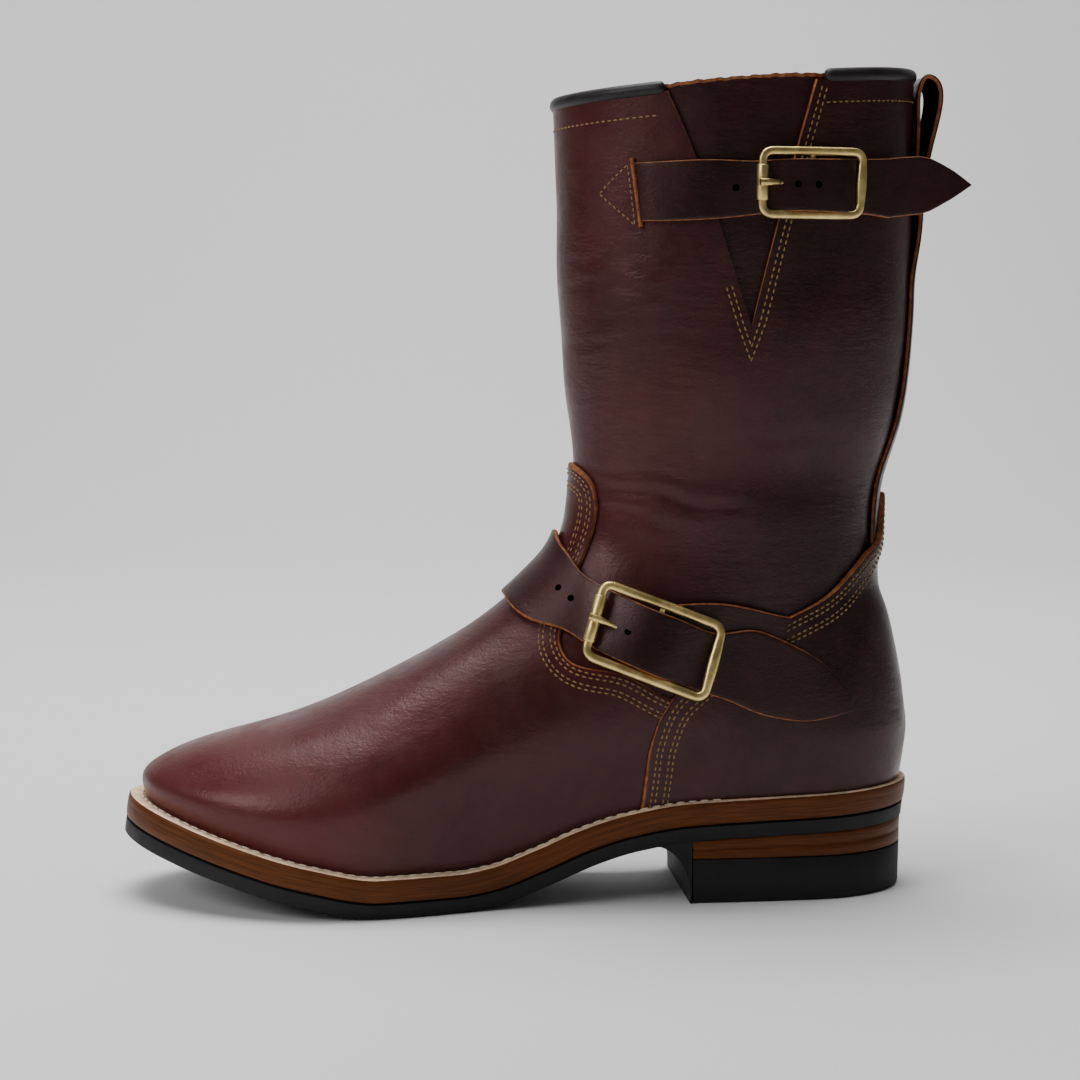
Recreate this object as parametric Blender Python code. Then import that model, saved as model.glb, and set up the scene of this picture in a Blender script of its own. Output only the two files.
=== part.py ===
"""A left engineer boot on its heel, toe to -X and outer side to -Y, in metres, as an assembly of the pieces it is made of."""

import bmesh
import bpy
import numpy as np
from collections import namedtuple

# Driving sizes.
last_length = 0.2938
last_back = 0.0415
ball_width = 0.0860
waist_width = 0.0525
heel_width = 0.0610
instep_height = 0.1220
shaft_height = 0.3105
collar_drop = 0.0110
shaft_depth = 0.1380
shaft_width = 0.0960
leg_centre = -0.0240
heel_height = 0.0237
toe_spring = 0.0240
outsole_thickness = 0.0060
midsole_thickness = 0.0052
welt_thickness = 0.0034
upper_wall = 0.0020
overlay = 0.0018
gap = 0.0003
strap_width = 0.0245
strap_thickness = 0.0022
rod = 0.0028
ring_steps = 19
sole_steps = 33

outsole_top = outsole_thickness
midsole_top = outsole_top + gap + midsole_thickness
stack = midsole_top + gap + welt_thickness

# The underside from heel to toe, as shares of the heel height and of the toe spring.
SoleRow = namedtuple("SoleRow", "along heel toe")
SOLE_LINE = (
    SoleRow(-0.020, 1.150, 0.0),
    SoleRow(0.066, 1.110, 0.0),
    SoleRow(0.287, 1.000, 0.0),
    SoleRow(0.362, 0.850, 0.0),
    SoleRow(0.413, 0.660, 0.0),
    SoleRow(0.475, 0.340, 0.0),
    SoleRow(0.540, 0.070, 0.0),
    SoleRow(0.590, 0.0, 0.0),
    SoleRow(0.690, 0.0, 0.0),
    SoleRow(0.790, 0.0, 0.205),
    SoleRow(0.905, 0.0, 0.565),
    SoleRow(1.025, 0.0, 1.000),
)

# The last's plan: how far its middle line and its two sides move, as shares of the ball width.
PlanRow = namedtuple("PlanRow", "along centre skew")
PLAN = (
    PlanRow(-0.02, 0.000, 0.000),
    PlanRow(0.12, 0.000, 0.000),
    PlanRow(0.28, -0.012, 0.030),
    PlanRow(0.43, -0.030, 0.030),
    PlanRow(0.55, 0.000, 0.000),
    PlanRow(0.67, 0.022, 0.012),
    PlanRow(0.79, 0.052, 0.016),
    PlanRow(0.91, 0.082, 0.016),
    PlanRow(1.02, 0.100, 0.012),
)

# How far the welt stands out past the last, in shares of the ball width.
WeltRow = namedtuple("WeltRow", "along outer inner")
WELT = (
    WeltRow(-0.02, 0.057, 0.057),
    WeltRow(0.15, 0.060, 0.058),
    WeltRow(0.40, 0.072, 0.055),
    WeltRow(0.55, 0.086, 0.066),
    WeltRow(0.75, 0.092, 0.086),
    WeltRow(1.02, 0.100, 0.100),
)

# Sections of the foot, fans from the back line to the front line. Rises are shares of the instep height.
STATIONS = (0.93, 0.67, 0.43, 0.20, 0.06)
FootRow = namedtuple(
    "FootRow", "front front_rise back back_rise nose round toe ball waist seat heel sag swing"
)
FOOT = (
    FootRow(1.000, 0.000, 0.000, 0.000, 0.240, 0.125, 1.000, 1.000, 1.000, 1.000, 1.000, 1.00, 1.00),
    FootRow(0.991, 0.062, -0.006, 0.145, 0.245, 0.130, 1.050, 1.050, 1.120, 1.080, 1.080, 0.86, 1.00),
    FootRow(0.978, 0.115, -0.004, 0.220, 0.270, 0.132, 1.060, 1.075, 1.220, 1.105, 1.105, 0.70, 0.96),
    FootRow(0.919, 0.222, 0.000, 0.296, 0.350, 0.135, 1.050, 1.085, 1.280, 1.110, 1.105, 0.50, 0.90),
    FootRow(0.820, 0.350, 0.006, 0.380, 0.370, 0.138, 1.050, 1.085, 1.320, 1.100, 1.095, 0.32, 0.80),
    FootRow(0.722, 0.490, 0.013, 0.460, 0.355, 0.142, 1.050, 1.085, 1.330, 1.090, 1.080, 0.18, 0.68),
    FootRow(0.631, 0.605, 0.022, 0.541, 0.335, 0.150, 1.050, 1.080, 1.330, 1.085, 1.075, 0.08, 0.56),
    FootRow(0.550, 0.715, 0.032, 0.611, 0.312, 0.160, 1.050, 1.060, 1.330, 1.095, 1.085, 0.03, 0.44),
    FootRow(0.488, 0.805, 0.034, 0.693, 0.288, 0.172, 1.050, 1.040, 1.330, 1.125, 1.115, 0.00, 0.32),
    FootRow(0.449, 0.880, 0.034, 0.775, 0.258, 0.184, 1.050, 1.020, 1.350, 1.160, 1.150, 0.00, 0.20),
    FootRow(0.433, 1.000, 0.033, 0.865, 0.226, 0.192, 1.050, 1.000, 1.390, 1.195, 1.185, 0.00, 0.10),
)

# Sections of the leg, as shares of the shaft's depth, height and width.
ShaftRow = namedtuple("ShaftRow", "front back front_rise back_rise width")
SHAFT = (
    ShaftRow(0.444, 0.421, 0.123, 0.090, 0.770),
    ShaftRow(0.462, 0.465, 0.255, 0.215, 0.860),
    ShaftRow(0.477, 0.490, 0.425, 0.394, 0.935),
    ShaftRow(0.488, 0.498, 0.648, 0.603, 0.975),
    ShaftRow(0.494, 0.500, 0.845, 0.812, 0.990),
    ShaftRow(0.500, 0.500, 1.000, 1.000, 1.000),
)

# Edges of the overlays, the notch, the gusset and the straps, as shares round the form and levels up it.
EdgeRow = namedtuple("EdgeRow", "share level")
VAMP_EDGE = (
    EdgeRow(1.0000, 10.829),
    EdgeRow(0.8689, 10.543),
    EdgeRow(0.8304, 10.032),
    EdgeRow(0.8223, 9.243),
    EdgeRow(0.7835, 7.856),
    EdgeRow(0.7048, 6.787),
    EdgeRow(0.6547, 6.257),
    EdgeRow(0.6047, 5.880),
    EdgeRow(0.5356, 5.545),
    EdgeRow(0.4569, 4.687),
)
COUNTER_EDGE = (
    EdgeRow(0.3967, 0.397),
    EdgeRow(0.3973, 0.953),
    EdgeRow(0.4039, 2.728),
    EdgeRow(0.4214, 4.099),
    EdgeRow(0.4172, 5.502),
    EdgeRow(0.3652, 6.101),
    EdgeRow(0.3170, 6.651),
    EdgeRow(0.2620, 7.135),
    EdgeRow(0.2133, 7.769),
    EdgeRow(0.1770, 8.218),
    EdgeRow(0.1099, 9.328),
    EdgeRow(0.0300, 10.440),
)
NOTCH = (
    EdgeRow(0.6500, 16.000),
    EdgeRow(0.6008, 15.123),
    EdgeRow(0.5581, 14.364),
    EdgeRow(0.5085, 13.199),
    EdgeRow(0.4683, 14.275),
    EdgeRow(0.4217, 15.108),
    EdgeRow(0.3910, 16.000),
)
GussetRow = namedtuple("GussetRow", "level back front")
GUSSET = (
    GussetRow(12.980, 0.4852, 0.5282),
    GussetRow(13.910, 0.4493, 0.5937),
    GussetRow(14.910, 0.4031, 0.6413),
    GussetRow(15.970, 0.3558, 0.6968),
)
STRIP_LEVELS = (10.725, 11.302, 11.871, 12.410, 12.938, 13.597)

StrapRow = namedtuple("StrapRow", "low_share low_level high_share high_level lift")
INSTEP_STRAP = (
    StrapRow(1.000, 7.53, 1.000, 9.34, 0.0030),
    StrapRow(0.880, 7.33, 0.925, 9.10, 0.0030),
    StrapRow(0.770, 7.00, 0.850, 8.75, 0.0029),
    StrapRow(0.700, 6.82, 0.785, 8.25, 0.0028),
    StrapRow(0.640, 6.54, 0.715, 7.85, 0.0028),
    StrapRow(0.569, 6.12, 0.630, 7.42, 0.0064),
    StrapRow(0.508, 5.68, 0.560, 7.05, 0.0092),
    StrapRow(0.451, 5.12, 0.495, 6.65, 0.0076),
    StrapRow(0.400, 4.48, 0.434, 6.20, 0.0048),
    StrapRow(0.350, 3.65, 0.390, 6.15, 0.0048),
    StrapRow(0.310, 3.00, 0.345, 5.84, 0.0048),
    StrapRow(0.267, 2.58, 0.300, 5.35, 0.0048),
    StrapRow(0.240, 2.52, 0.262, 4.70, 0.0044),
    StrapRow(0.216, 2.58, 0.226, 3.82, 0.0038),
    StrapRow(0.195, 2.65, 0.194, 2.82, 0.0034),
)
INSTEP_INNER = (
    StrapRow(1.000, 7.53, 1.000, 9.34, 0.0030),
    StrapRow(0.880, 7.33, 0.925, 9.10, 0.0030),
    StrapRow(0.770, 7.00, 0.850, 8.75, 0.0032),
    StrapRow(0.660, 6.45, 0.745, 8.35, 0.0032),
    StrapRow(0.560, 5.55, 0.640, 7.85, 0.0035),
    StrapRow(0.480, 4.50, 0.545, 7.10, 0.0034),
    StrapRow(0.415, 3.30, 0.455, 6.10, 0.0034),
    StrapRow(0.365, 2.20, 0.385, 5.05, 0.0036),
)
TOP_STRAP = (
    StrapRow(0.703, 14.28, 0.712, 15.00, 0.0006),
    StrapRow(0.640, 14.28, 0.645, 15.00, 0.0006),
    StrapRow(0.570, 14.29, 0.573, 15.00, 0.0006),
    StrapRow(0.508, 14.38, 0.509, 14.95, 0.0006),
    StrapRow(0.455, 14.43, 0.455, 14.94, 0.0042),
    StrapRow(0.405, 14.44, 0.405, 14.93, 0.0068),
    StrapRow(0.352, 14.44, 0.352, 14.93, 0.0054),
    StrapRow(0.300, 14.44, 0.300, 14.94, 0.0030),
    StrapRow(0.245, 14.33, 0.245, 14.99, 0.0030),
)
TOP_CHAPE = (
    StrapRow(0.400, 14.42, 0.400, 14.93, 0.0006),
    StrapRow(0.340, 14.42, 0.340, 14.93, 0.0004),
    StrapRow(0.270, 14.42, 0.270, 14.93, 0.0004),
    StrapRow(0.215, 14.42, 0.215, 14.93, 0.0004),
)
INSTEP_CHAPE = (
    StrapRow(0.505, 5.55, 0.560, 7.10, 0.0028),
    StrapRow(0.430, 4.75, 0.478, 7.05, 0.0028),
    StrapRow(0.382, 4.60, 0.410, 7.10, 0.0028),
    StrapRow(0.350, 5.20, 0.352, 6.72, 0.0031),
)

# Corners of the buckles' frames, from the front top and on by the back.
TOP_BUCKLE = (
    EdgeRow(0.4934, 15.086),
    EdgeRow(0.3041, 15.048),
    EdgeRow(0.3098, 14.344),
    EdgeRow(0.4944, 14.345),
)
INSTEP_BUCKLE = (
    EdgeRow(0.7286, 8.173),
    EdgeRow(0.4416, 6.599),
    EdgeRow(0.3943, 4.068),
    EdgeRow(0.6254, 6.238),
)

stations = np.array(STATIONS[::-1])


def spline(knots, values, at):
    """The natural cubic through the values at the knots."""
    knots, values, at = (np.asarray(item, float) for item in (knots, values, at))
    count = len(knots)
    width = np.diff(knots)
    matrix = np.eye(count)
    right = np.zeros_like(values)
    for i in range(1, count - 1):
        matrix[i, i - 1 : i + 2] = width[i - 1], 2 * (width[i - 1] + width[i]), width[i]
        after = (values[i + 1] - values[i]) / width[i]
        right[i] = 6 * (after - (values[i] - values[i - 1]) / width[i - 1])
    bend = np.linalg.solve(matrix, right)
    k = np.clip(np.searchsorted(knots, at, side="right") - 1, 0, count - 2)
    more = (1,) * (values.ndim - 1)
    t = (at - knots[k]).reshape(at.shape + more)
    s = (knots[k + 1] - at).reshape(at.shape + more)
    w = width[k].reshape(at.shape + more)
    curve = (bend[k] * s**3 + bend[k + 1] * t**3) / (6 * w)
    return curve + (values[k] / w - bend[k] * w / 6) * s + (values[k + 1] / w - bend[k + 1] * w / 6) * t


def underside(x):
    """Height of the outsole's underside. It keeps level between two equal rows."""
    table = np.array(SOLE_LINE)
    knots, values = table[:, 0], table[:, 1] * heel_height + table[:, 2] * toe_spring
    rise = np.diff(values) / np.diff(knots)
    slope = np.concatenate([rise[:1], np.zeros(len(rise) - 1), rise[-1:]])
    same = rise[:-1] * rise[1:] > 0
    slope[1:-1][same] = 2 / (1 / rise[:-1][same] + 1 / rise[1:][same])
    at = (last_back - np.asarray(x, float)) / last_length
    k = np.clip(np.searchsorted(knots, at, side="right") - 1, 0, len(knots) - 2)
    h = np.diff(knots)[k]
    t = np.clip((at - knots[k]) / h, 0, 1)
    low = (1 + 2 * t) * (1 - t) ** 2 * values[k] + t * (1 - t) ** 2 * h * slope[k]
    past = np.clip(at - knots[-1], 0, None) * slope[-1]
    return low + t * t * (3 - 2 * t) * values[k + 1] + t * t * (t - 1) * h * slope[k + 1] + past


def over_sole(x, y, lift):
    """Places that lie lift above the underside, square to it."""
    x = np.asarray(x, float)
    slope = (underside(x + 0.0005) - underside(x - 0.0005)) / 0.001
    size = np.sqrt(1 + slope**2)
    x, y, lift = np.broadcast_arrays(x, y, lift)
    return np.stack([x - lift * slope / size, y, underside(x) + lift / size], -1)


def section_table():
    """One row of plain sizes for each section, from the feather line up to the collar."""
    rows = []
    for r in FOOT:
        ends = []
        for along, rise in ((r.front, r.front_rise), (r.back, r.back_rise)):
            x = last_back - along * last_length
            foot = over_sole(x, 0.0, stack + gap)
            ends += [foot[0] if rise == 0 else x, foot[2] + rise * instep_height]
        widths = np.array([r.toe, r.ball, r.waist, r.seat, r.heel]) / 2
        widths *= [ball_width, ball_width, waist_width, heel_width, heel_width]
        rows.append([*ends, r.nose * last_length, r.round * last_length, *widths, r.sag, r.swing])
    front, back = rows[-1][1], rows[-1][3]
    for r in SHAFT:
        half = (r.front + r.back) * shaft_depth / 2
        rows.append(
            [
                leg_centre - r.front * shaft_depth,
                front + r.front_rise * (shaft_height - collar_drop - front),
                leg_centre + r.back * shaft_depth,
                back + r.back_rise * (shaft_height - back),
                half,
                half,
                *[r.width * shaft_width / 2] * 5,
                0.0,
                0.0,
            ]
        )
    return np.array(rows)


table = section_table()
collar = len(table) - 1


def section(level):
    return spline(np.arange(len(table)), table, level)


def form(share, level, side):
    """A place on the last and leg. share runs from the back line, 0, to the front line, 1."""
    share, level, side = np.broadcast_arrays(*(np.asarray(item, float) for item in (share, level, side)))
    shape = share.shape
    share, level, side = share.ravel(), level.ravel(), side.ravel()
    row = section(level)
    front_x, front_z, back_x, back_z, nose, heel_round = row.T[:6]
    sag, swing = np.clip(row.T[11:13], 0, 1)
    reach = (1 - np.cos(np.pi * share)) / 2
    feather = over_sole(last_back - reach * last_length, 0.0, stack + gap)
    first = table[0]
    x = back_x + (front_x - back_x) * reach
    z = back_z + (front_z - back_z) * reach
    along = (last_back - x) / last_length
    x = x + sag * (feather[:, 0] - first[2] - (first[0] - first[2]) * reach)
    z = z + sag * (feather[:, 2] - first[3] - (first[1] - first[3]) * reach)
    weights = spline(stations, np.eye(len(stations)), np.clip(along, stations[0], stations[-1]))
    half = (weights[:, ::-1] * row[:, 6:11]).sum(1)
    near_front = np.clip((back_x - front_x) * (1 - reach) / nose, 0, 1)
    near_back = np.clip((back_x - front_x) * reach / heel_round, 0, 1)
    closing = np.sqrt((1 - (1 - near_front) ** 2) * (1 - (1 - near_back) ** 2))
    plan = np.array(PLAN)
    bend = spline(plan[:, 0], plan[:, 1:], np.clip(along, plan[0, 0], plan[-1, 0]))
    bend = bend * (ball_width * swing)[:, None]
    y = bend[:, 0] + side * (half - side * bend[:, 1]) * closing
    return np.stack([x, y, z], -1).reshape(shape + (3,))


def wall(share, level, side, out=0.0):
    """The form moved out by a distance square to it."""
    share, level, side, out = np.broadcast_arrays(
        *(np.asarray(item, float) for item in (share, level, side, out))
    )
    step = 1e-3
    over = (share > 1 - step)[..., None]
    under = (share < step)[..., None]
    behind = form(np.abs(share - step), level, side)
    behind = np.where(under, form(step - share, level, -side), behind)
    ahead = form(np.minimum(share + step, 1), level, side)
    ahead = np.where(over, form(2 - share - step, level, -side), ahead)
    above = form(share, np.minimum(level + 0.02, collar), side)
    below = form(share, np.maximum(level - 0.02, 0), side)
    square = np.cross(ahead - behind, above - below) * side[..., None]
    square /= np.linalg.norm(square, axis=-1, keepdims=True)
    return form(share, level, side) + square * out[..., None]


def find(x, z, side=-1.0):
    """The share and level of the place that a side view shows at x and z."""
    x, z = np.broadcast_arrays(np.asarray(x, float), np.asarray(z, float))
    low, high = np.zeros(x.shape), np.full(x.shape, float(collar))
    share = np.full(x.shape, 0.5)
    for _ in range(30):
        level = (low + high) / 2
        row = section(level)
        reach = np.clip((x - row[..., 2]) / (row[..., 0] - row[..., 2]), 0, 1)
        for _ in range(3):
            share = np.arccos(1 - 2 * reach) / np.pi
            at = form(share, level, side)
            reach = np.clip(reach + (x - at[..., 0]) / (row[..., 0] - row[..., 2]), 0, 1)
        under = at[..., 2] < z
        low, high = np.where(under, level, low), np.where(under, high, level)
    return share, (low + high) / 2


def side_view(rows):
    """Where a side view shows rows of shares and levels."""
    rows = np.array(rows)
    return form(rows[:, 0], rows[:, 1], -1.0)[:, [0, 2]]


def add(name, points, faces, shown=True):
    mesh = bpy.data.meshes.new(name)
    mesh.from_pydata(np.asarray(points).reshape(-1, 3).tolist(), [], faces)
    work = bmesh.new()
    work.from_mesh(mesh)
    bmesh.ops.recalc_face_normals(work, faces=work.faces)
    work.to_mesh(mesh)
    work.free()
    piece = bpy.data.objects.new(name, mesh)
    bpy.context.scene.collection.objects.link(piece)
    if not shown:
        piece.hide_render = True
    return piece


def tube(name, rings, closed=False, shown=True):
    """Joins rings of equal count, capped at both ends or closed on itself."""
    rings = np.asarray(rings)
    count, size = rings.shape[:2]
    faces = []
    for i in range(count if closed else count - 1):
        j = (i + 1) % count
        for k in range(size):
            m = (k + 1) % size
            faces.append((i * size + k, i * size + m, j * size + m, j * size + k))
    if not closed:
        faces.append(tuple(range(size)))
        faces.append(tuple(range((count - 1) * size, count * size)))
    return add(name, rings, faces, shown)


def cut(piece, tool, how="DIFFERENCE"):
    change = piece.modifiers.new(how.lower(), "BOOLEAN")
    change.solver = "EXACT"
    change.operation = how
    change.object = tool
    tool.hide_render = True
    return piece


def prism(name, outline, low, high):
    """The side-view outline carried from y = low to y = high."""
    outline = np.asarray(outline, float)
    rings = [np.stack([outline[:, 0], np.full(len(outline), y), outline[:, 1]], -1) for y in (low, high)]
    return tube(name, rings, shown=False)


def smooth_edge(rows, count):
    rows = np.array(rows)
    walked = np.concatenate([[0], np.cumsum(np.linalg.norm(np.diff(rows, axis=0), axis=1))])
    return spline(walked, rows, np.linspace(0, walked[-1], count))


def shell(name, inner, outer, levels, steps):
    """A wall between two offsets of the form, open at its top and underneath."""
    share = np.linspace(0, 1, steps)
    around = [(s, -1.0) for s in share] + [(s, 1.0) for s in share[-2:0:-1]]
    count, height = len(around), len(levels)
    points = [wall(s, levels, side, out) for out in (outer, inner) for s, side in around]
    faces = []
    for i in range(count):
        j = (i + 1) % count
        for k in range(height - 1):
            a, b, c, d = i * height + k, j * height + k, j * height + k + 1, i * height + k + 1
            more = count * height
            faces += [(a, b, c), (a, c, d), (a + more, c + more, b + more), (a + more, d + more, c + more)]
        for k in (0, height - 1):
            a, b = i * height + k, j * height + k
            faces.append((a, a + more, b + more, b))
    return add(name, np.concatenate(points), faces)


def outline(margin, taper=0.0):
    """The last's feather line moved out in plan, as pairs of outer and inner points."""
    share = np.linspace(0, 1, sole_steps)
    reach = (1 - np.cos(np.pi * share)) / 2
    table_of_welt = np.array(WELT)
    pairs = []
    for side, column in ((-1.0, 1), (1.0, 2)):
        line = form(share, 0.0, side)[:, :2]
        line[:, 0] = last_back - reach * last_length
        ahead = np.gradient(line, axis=0)
        ahead[0], ahead[-1] = (0, side), (0, -side)
        square = np.stack([ahead[:, 1], -ahead[:, 0]], -1) * side
        square /= np.linalg.norm(square, axis=1, keepdims=True)
        out = spline(table_of_welt[:, 0], table_of_welt[:, column], reach) * ball_width
        pairs.append(line + square * (margin * out + taper)[:, None])
    return pairs


def layer(name, rows, shown=True):
    """A plate that follows the sole. Each row is a lift with its margin and taper."""
    rings = []
    for lift, margin, taper in rows:
        outer, inner = outline(margin, taper)
        loop = np.concatenate([outer, inner[-2:0:-1]])
        rings.append(over_sole(loop[:, 0], loop[:, 1], lift))
    count = len(rings[0])
    half = len(outer)
    faces = []
    for i in range(len(rings) - 1):
        for k in range(count):
            m = (k + 1) % count
            faces.append((i * count + k, i * count + m, (i + 1) * count + m, (i + 1) * count + k))
    for base in (0, (len(rings) - 1) * count):
        faces.append((base, base + 1, base + count - 1))
        for k in range(1, half - 2):
            faces.append((base + k, base + k + 1, base + count - k - 1, base + count - k))
        faces.append((base + half - 2, base + half - 1, base + half))
    return add(name, np.concatenate(rings), faces, shown)


def box(name, low, high):
    low, high = np.array(low), np.array(high)
    corners = np.array([(x, y) for x, y in ((0, 0), (1, 0), (1, 1), (0, 1))])
    rings = [np.column_stack([low[:2] + (high - low)[:2] * corners, [z] * 4]) for z in (low[2], high[2])]
    return tube(name, rings, shown=False)


def on_surface(rows, side, steps, thickness=strap_thickness):
    """Places across a strap on the form, then its under and upper face, then stations along it."""
    rows = np.array(rows)
    rows = spline(np.arange(len(rows)), rows, np.linspace(0, len(rows) - 1, steps))
    found = []
    for t in (0.0, 0.25, 0.5, 0.75, 1.0):
        share = rows[:, 0] * (1 - t) + rows[:, 2] * t
        level = rows[:, 1] * (1 - t) + rows[:, 3] * t
        sides = [wall(share, level, side, rows[:, 4] + more) for more in (0.0, thickness)]
        found.append(sides)
    return np.array(found)


def strap(name, sheets):
    """sheets holds places across, then under and upper face, then stations along."""
    rings = np.concatenate([sheets[:, 0], sheets[::-1, 1]]).transpose(1, 0, 2)
    return tube(name, rings)


def bar(centre_line, across, deep, sides=8):
    """Rings round a line of places, flat across one direction."""
    turn = (np.arange(sides) + 0.5) * 2 * np.pi / sides
    rings = []
    for place, wide, high in centre_line:
        rings.append(place + np.outer(np.cos(turn), wide) * across / 2 + np.outer(np.sin(turn), high) * deep / 2)
    return np.array(rings)


def unit(vector):
    return np.asarray(vector, float) / np.linalg.norm(vector)


def buckle(name, rows, lifts, rod):
    """Frame with its centre bar, the roller on its front bar, and the prong. rows go round from front top."""
    corners = side_view(rows)
    ends = []
    for pair, lift in (((0, 3), lifts[0]), ((1, 2), lifts[1])):
        x, z = corners[list(pair)].mean(0)
        ends.append(wall(*find(x, z), -1.0, lift))
    centre = (ends[0] + ends[1]) / 2
    share, level = find(centre[0], centre[2])
    rough = wall(share, level, -1.0, 1.0) - wall(share, level, -1.0, 0.0)
    ahead = unit(ends[1] - ends[0])
    square = unit(rough - ahead * (rough @ ahead))
    reach = (corners[:, 0] - centre[0]) * square[0] + (corners[:, 1] - centre[2]) * square[2]
    places = np.stack([corners[:, 0], centre[1] - reach / square[1], corners[:, 1]], -1)
    path = []
    for i in range(4):
        here, back, ahead = places[i], unit(places[i - 1] - places[i]), unit(places[(i + 1) % 4] - places[i])
        for t in (0.0, 0.33, 0.67, 1.0):
            at = here + back * 0.0042 * (1 - t) ** 2 + ahead * 0.0042 * t**2
            path.append((at, unit(-(ahead * (1 - t) + back * t)), square))
        path.append(((here + places[(i + 1) % 4]) / 2, unit(np.cross(square, ahead)), square))
    frame = tube(name + "_frame", bar(path, rod, rod * 0.86), closed=True)
    along = unit(places[0] + places[3] - places[1] - places[2])
    top, bottom = (places[0] + places[1]) / 2, (places[2] + places[3]) / 2
    up = unit(top - bottom)
    line = [(top - up * 0.0006, along, square), (bottom + up * 0.0006, along, square)]
    cut(frame, tube(name + "_bar", bar(line, 0.0021, 0.0021), shown=False), "UNION")
    front = (places[0] + places[3]) / 2
    front_up = unit(places[0] - places[3])
    half = front_up * (np.linalg.norm(places[0] - places[3]) / 2 - 0.0048)
    across = unit(np.cross(front_up, square))
    loops = []
    for wide in (rod + 0.0008, rod + 0.0020):
        loops.append(bar([(front - half, across, square), (front + half, across, square)], wide, wide, 12))
    tube(name + "_roller", np.concatenate([loops[1], loops[0][::-1]]), closed=True)
    middle = (top + bottom) / 2
    reach = (front - middle) @ along
    line = []
    for turn in np.radians([-140, -95, -50, -10]):
        out = np.cos(turn) * square - np.sin(turn) * along
        line.append((middle + 0.0024 * out, up, out))
    for share, height in ((0.35, 0.0029), (0.72, 0.0032), (0.90, 0.0033), (1.12, 0.0031)):
        line.append((middle + along * reach * share + square * height, up, square))
    tube(name + "_prong", bar(line, 0.0024, 0.0017, 8))
    slot = [(-0.0017, -0.012), (0.0017, -0.012), (0.0017, 0.012), (-0.0017, 0.012)]
    ends = [middle + along * reach * share for share in (-0.17, 0.78)]
    return tube(name + "_hole", [[at + up * w + square * d for w, d in slot] for at in ends], shown=False)


for old in list(bpy.data.objects):
    bpy.data.objects.remove(old)

# Sole pieces, from the ground up.
layer("midsole", [(outsole_top + gap, 1.0, -0.0012), (midsole_top, 1.0, -0.0005)])
welt = layer("welt", [(midsole_top + gap, 1.0, -0.0004), (stack, 1.0, 0.0)])
cut(welt, layer("welt_hole", [(midsole_top, -1.0, -0.0035), (stack + 0.001, -1.0, -0.0035)], False))
layer(
    "insole",
    [
        (midsole_top + 0.0008, -1.0, -0.0039),
        (stack + 0.0006, -1.0, -0.0039),
        (stack + 0.0008, 0.0, -0.0030),
        (stack + 0.0036, 0.0, -0.0027),
    ],
)

breast = -0.0430
outsole = layer("outsole", [(0.0, 1.0, -0.0024), (0.0014, 1.0, -0.0017), (outsole_top, 1.0, -0.0014)])
flap_line = [(breast - gap, 0.0), (breast - 0.0010, 0.0)]
for turn in np.radians(np.arange(0, 91, 15)):
    flap_line.append((breast - 0.0150 + 0.0140 * np.cos(turn), 0.0032 + 0.0190 * np.sin(turn)))
flap_line += [(breast - 0.0150, 0.0260), (breast - gap, 0.0265)]
flap_line = np.array(flap_line)
flap = prism("flap", flap_line, -0.045, 0.045)
foot_block = layer("foot_block", [(-0.0275, 1.0, -0.0030), (0.0040, 1.0, -0.0022)], False)
cut(flap, foot_block, "INTERSECT")
cut(outsole, flap, "UNION")

lift_bottom = 0.0167
for name, low, high in (("heel_lift", lift_bottom + gap, None), ("heel_block", 0.0, lift_bottom)):
    outer, inner = outline(1.0, -0.0026)
    loop = np.concatenate([outer, inner[-2:0:-1]])
    loop = loop[loop[:, 0] > breast + 0.002]
    order = np.argsort(np.arctan2(loop[:, 1], loop[:, 0] + 0.01))
    loop = loop[order]
    front = [(breast, loop[-1, 1] + 0.0003), (breast, loop[0, 1] - 0.0003)]
    loop = np.concatenate([loop, front])
    rings = []
    if high is None:
        rings = [np.column_stack([loop, [low] * len(loop)]), np.column_stack([loop * [1.004, 1.010], underside(loop[:, 0]) - gap])]
    else:
        inward = loop * [0.995, 0.985]
        rings = [
            np.column_stack([inward, [low] * len(loop)]),
            np.column_stack([loop, [low + 0.0012] * len(loop)]),
            np.column_stack([loop, [high] * len(loop)]),
        ]
    tube(name, rings)

# Upper and its overlays.
levels = np.array([0, 0.4, 0.8, 1.2, 1.7, 2.3, 3, 4, 5, 6, 7, 8, 9, 10, 11, 12, 13, 14.4, 16.0])
upper = shell("upper", -upper_wall, 0.0, levels, ring_steps)
mouth = side_view(NOTCH)
above = [mouth[-1] + [0.0062, 0.0180], mouth[0] + [-0.0042, 0.0180]]
notch = prism("notch", np.concatenate([mouth, above]), -shaft_width, -shaft_width / 10)
cut(upper, notch)
room = layer("sole_room", [(0.0, 1.2, 0.0), (stack + gap, 1.2, 0.0)], False)
cut(upper, room)

low_levels = levels[levels < 12]
vamp = shell("vamp", gap, gap + overlay, low_levels, ring_steps)
edge = smooth_edge(side_view(VAMP_EDGE), 22)
front_edge = smooth_edge(side_view(COUNTER_EDGE), 30)
lower_front = front_edge[front_edge[:, 1] < edge[-1, 1] - 0.0011]
toe, floor = last_back - 1.1 * last_length, 0.005
before = [(edge[0, 0] - ball_width / 4, edge[0, 1] + 0.0007)]
below = [(lower_front[0, 0] - 0.0015, floor), (toe, floor), (toe, before[0][1])]
vamp_outline = np.concatenate([before, edge, lower_front[::-1] - [2 * gap, 0], below])
cut(vamp, prism("vamp_area", vamp_outline, -ball_width, ball_width), "INTERSECT")
counter = shell("counter", gap, gap + overlay + 0.0004, low_levels, ring_steps)
behind = last_back + ball_width / 2
peak = front_edge[-1, 1] + 0.0020
counter_end = [(behind, peak), (behind, floor), (front_edge[0, 0] - 0.0010, floor)]
counter_outline = np.concatenate([front_edge, counter_end])
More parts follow.
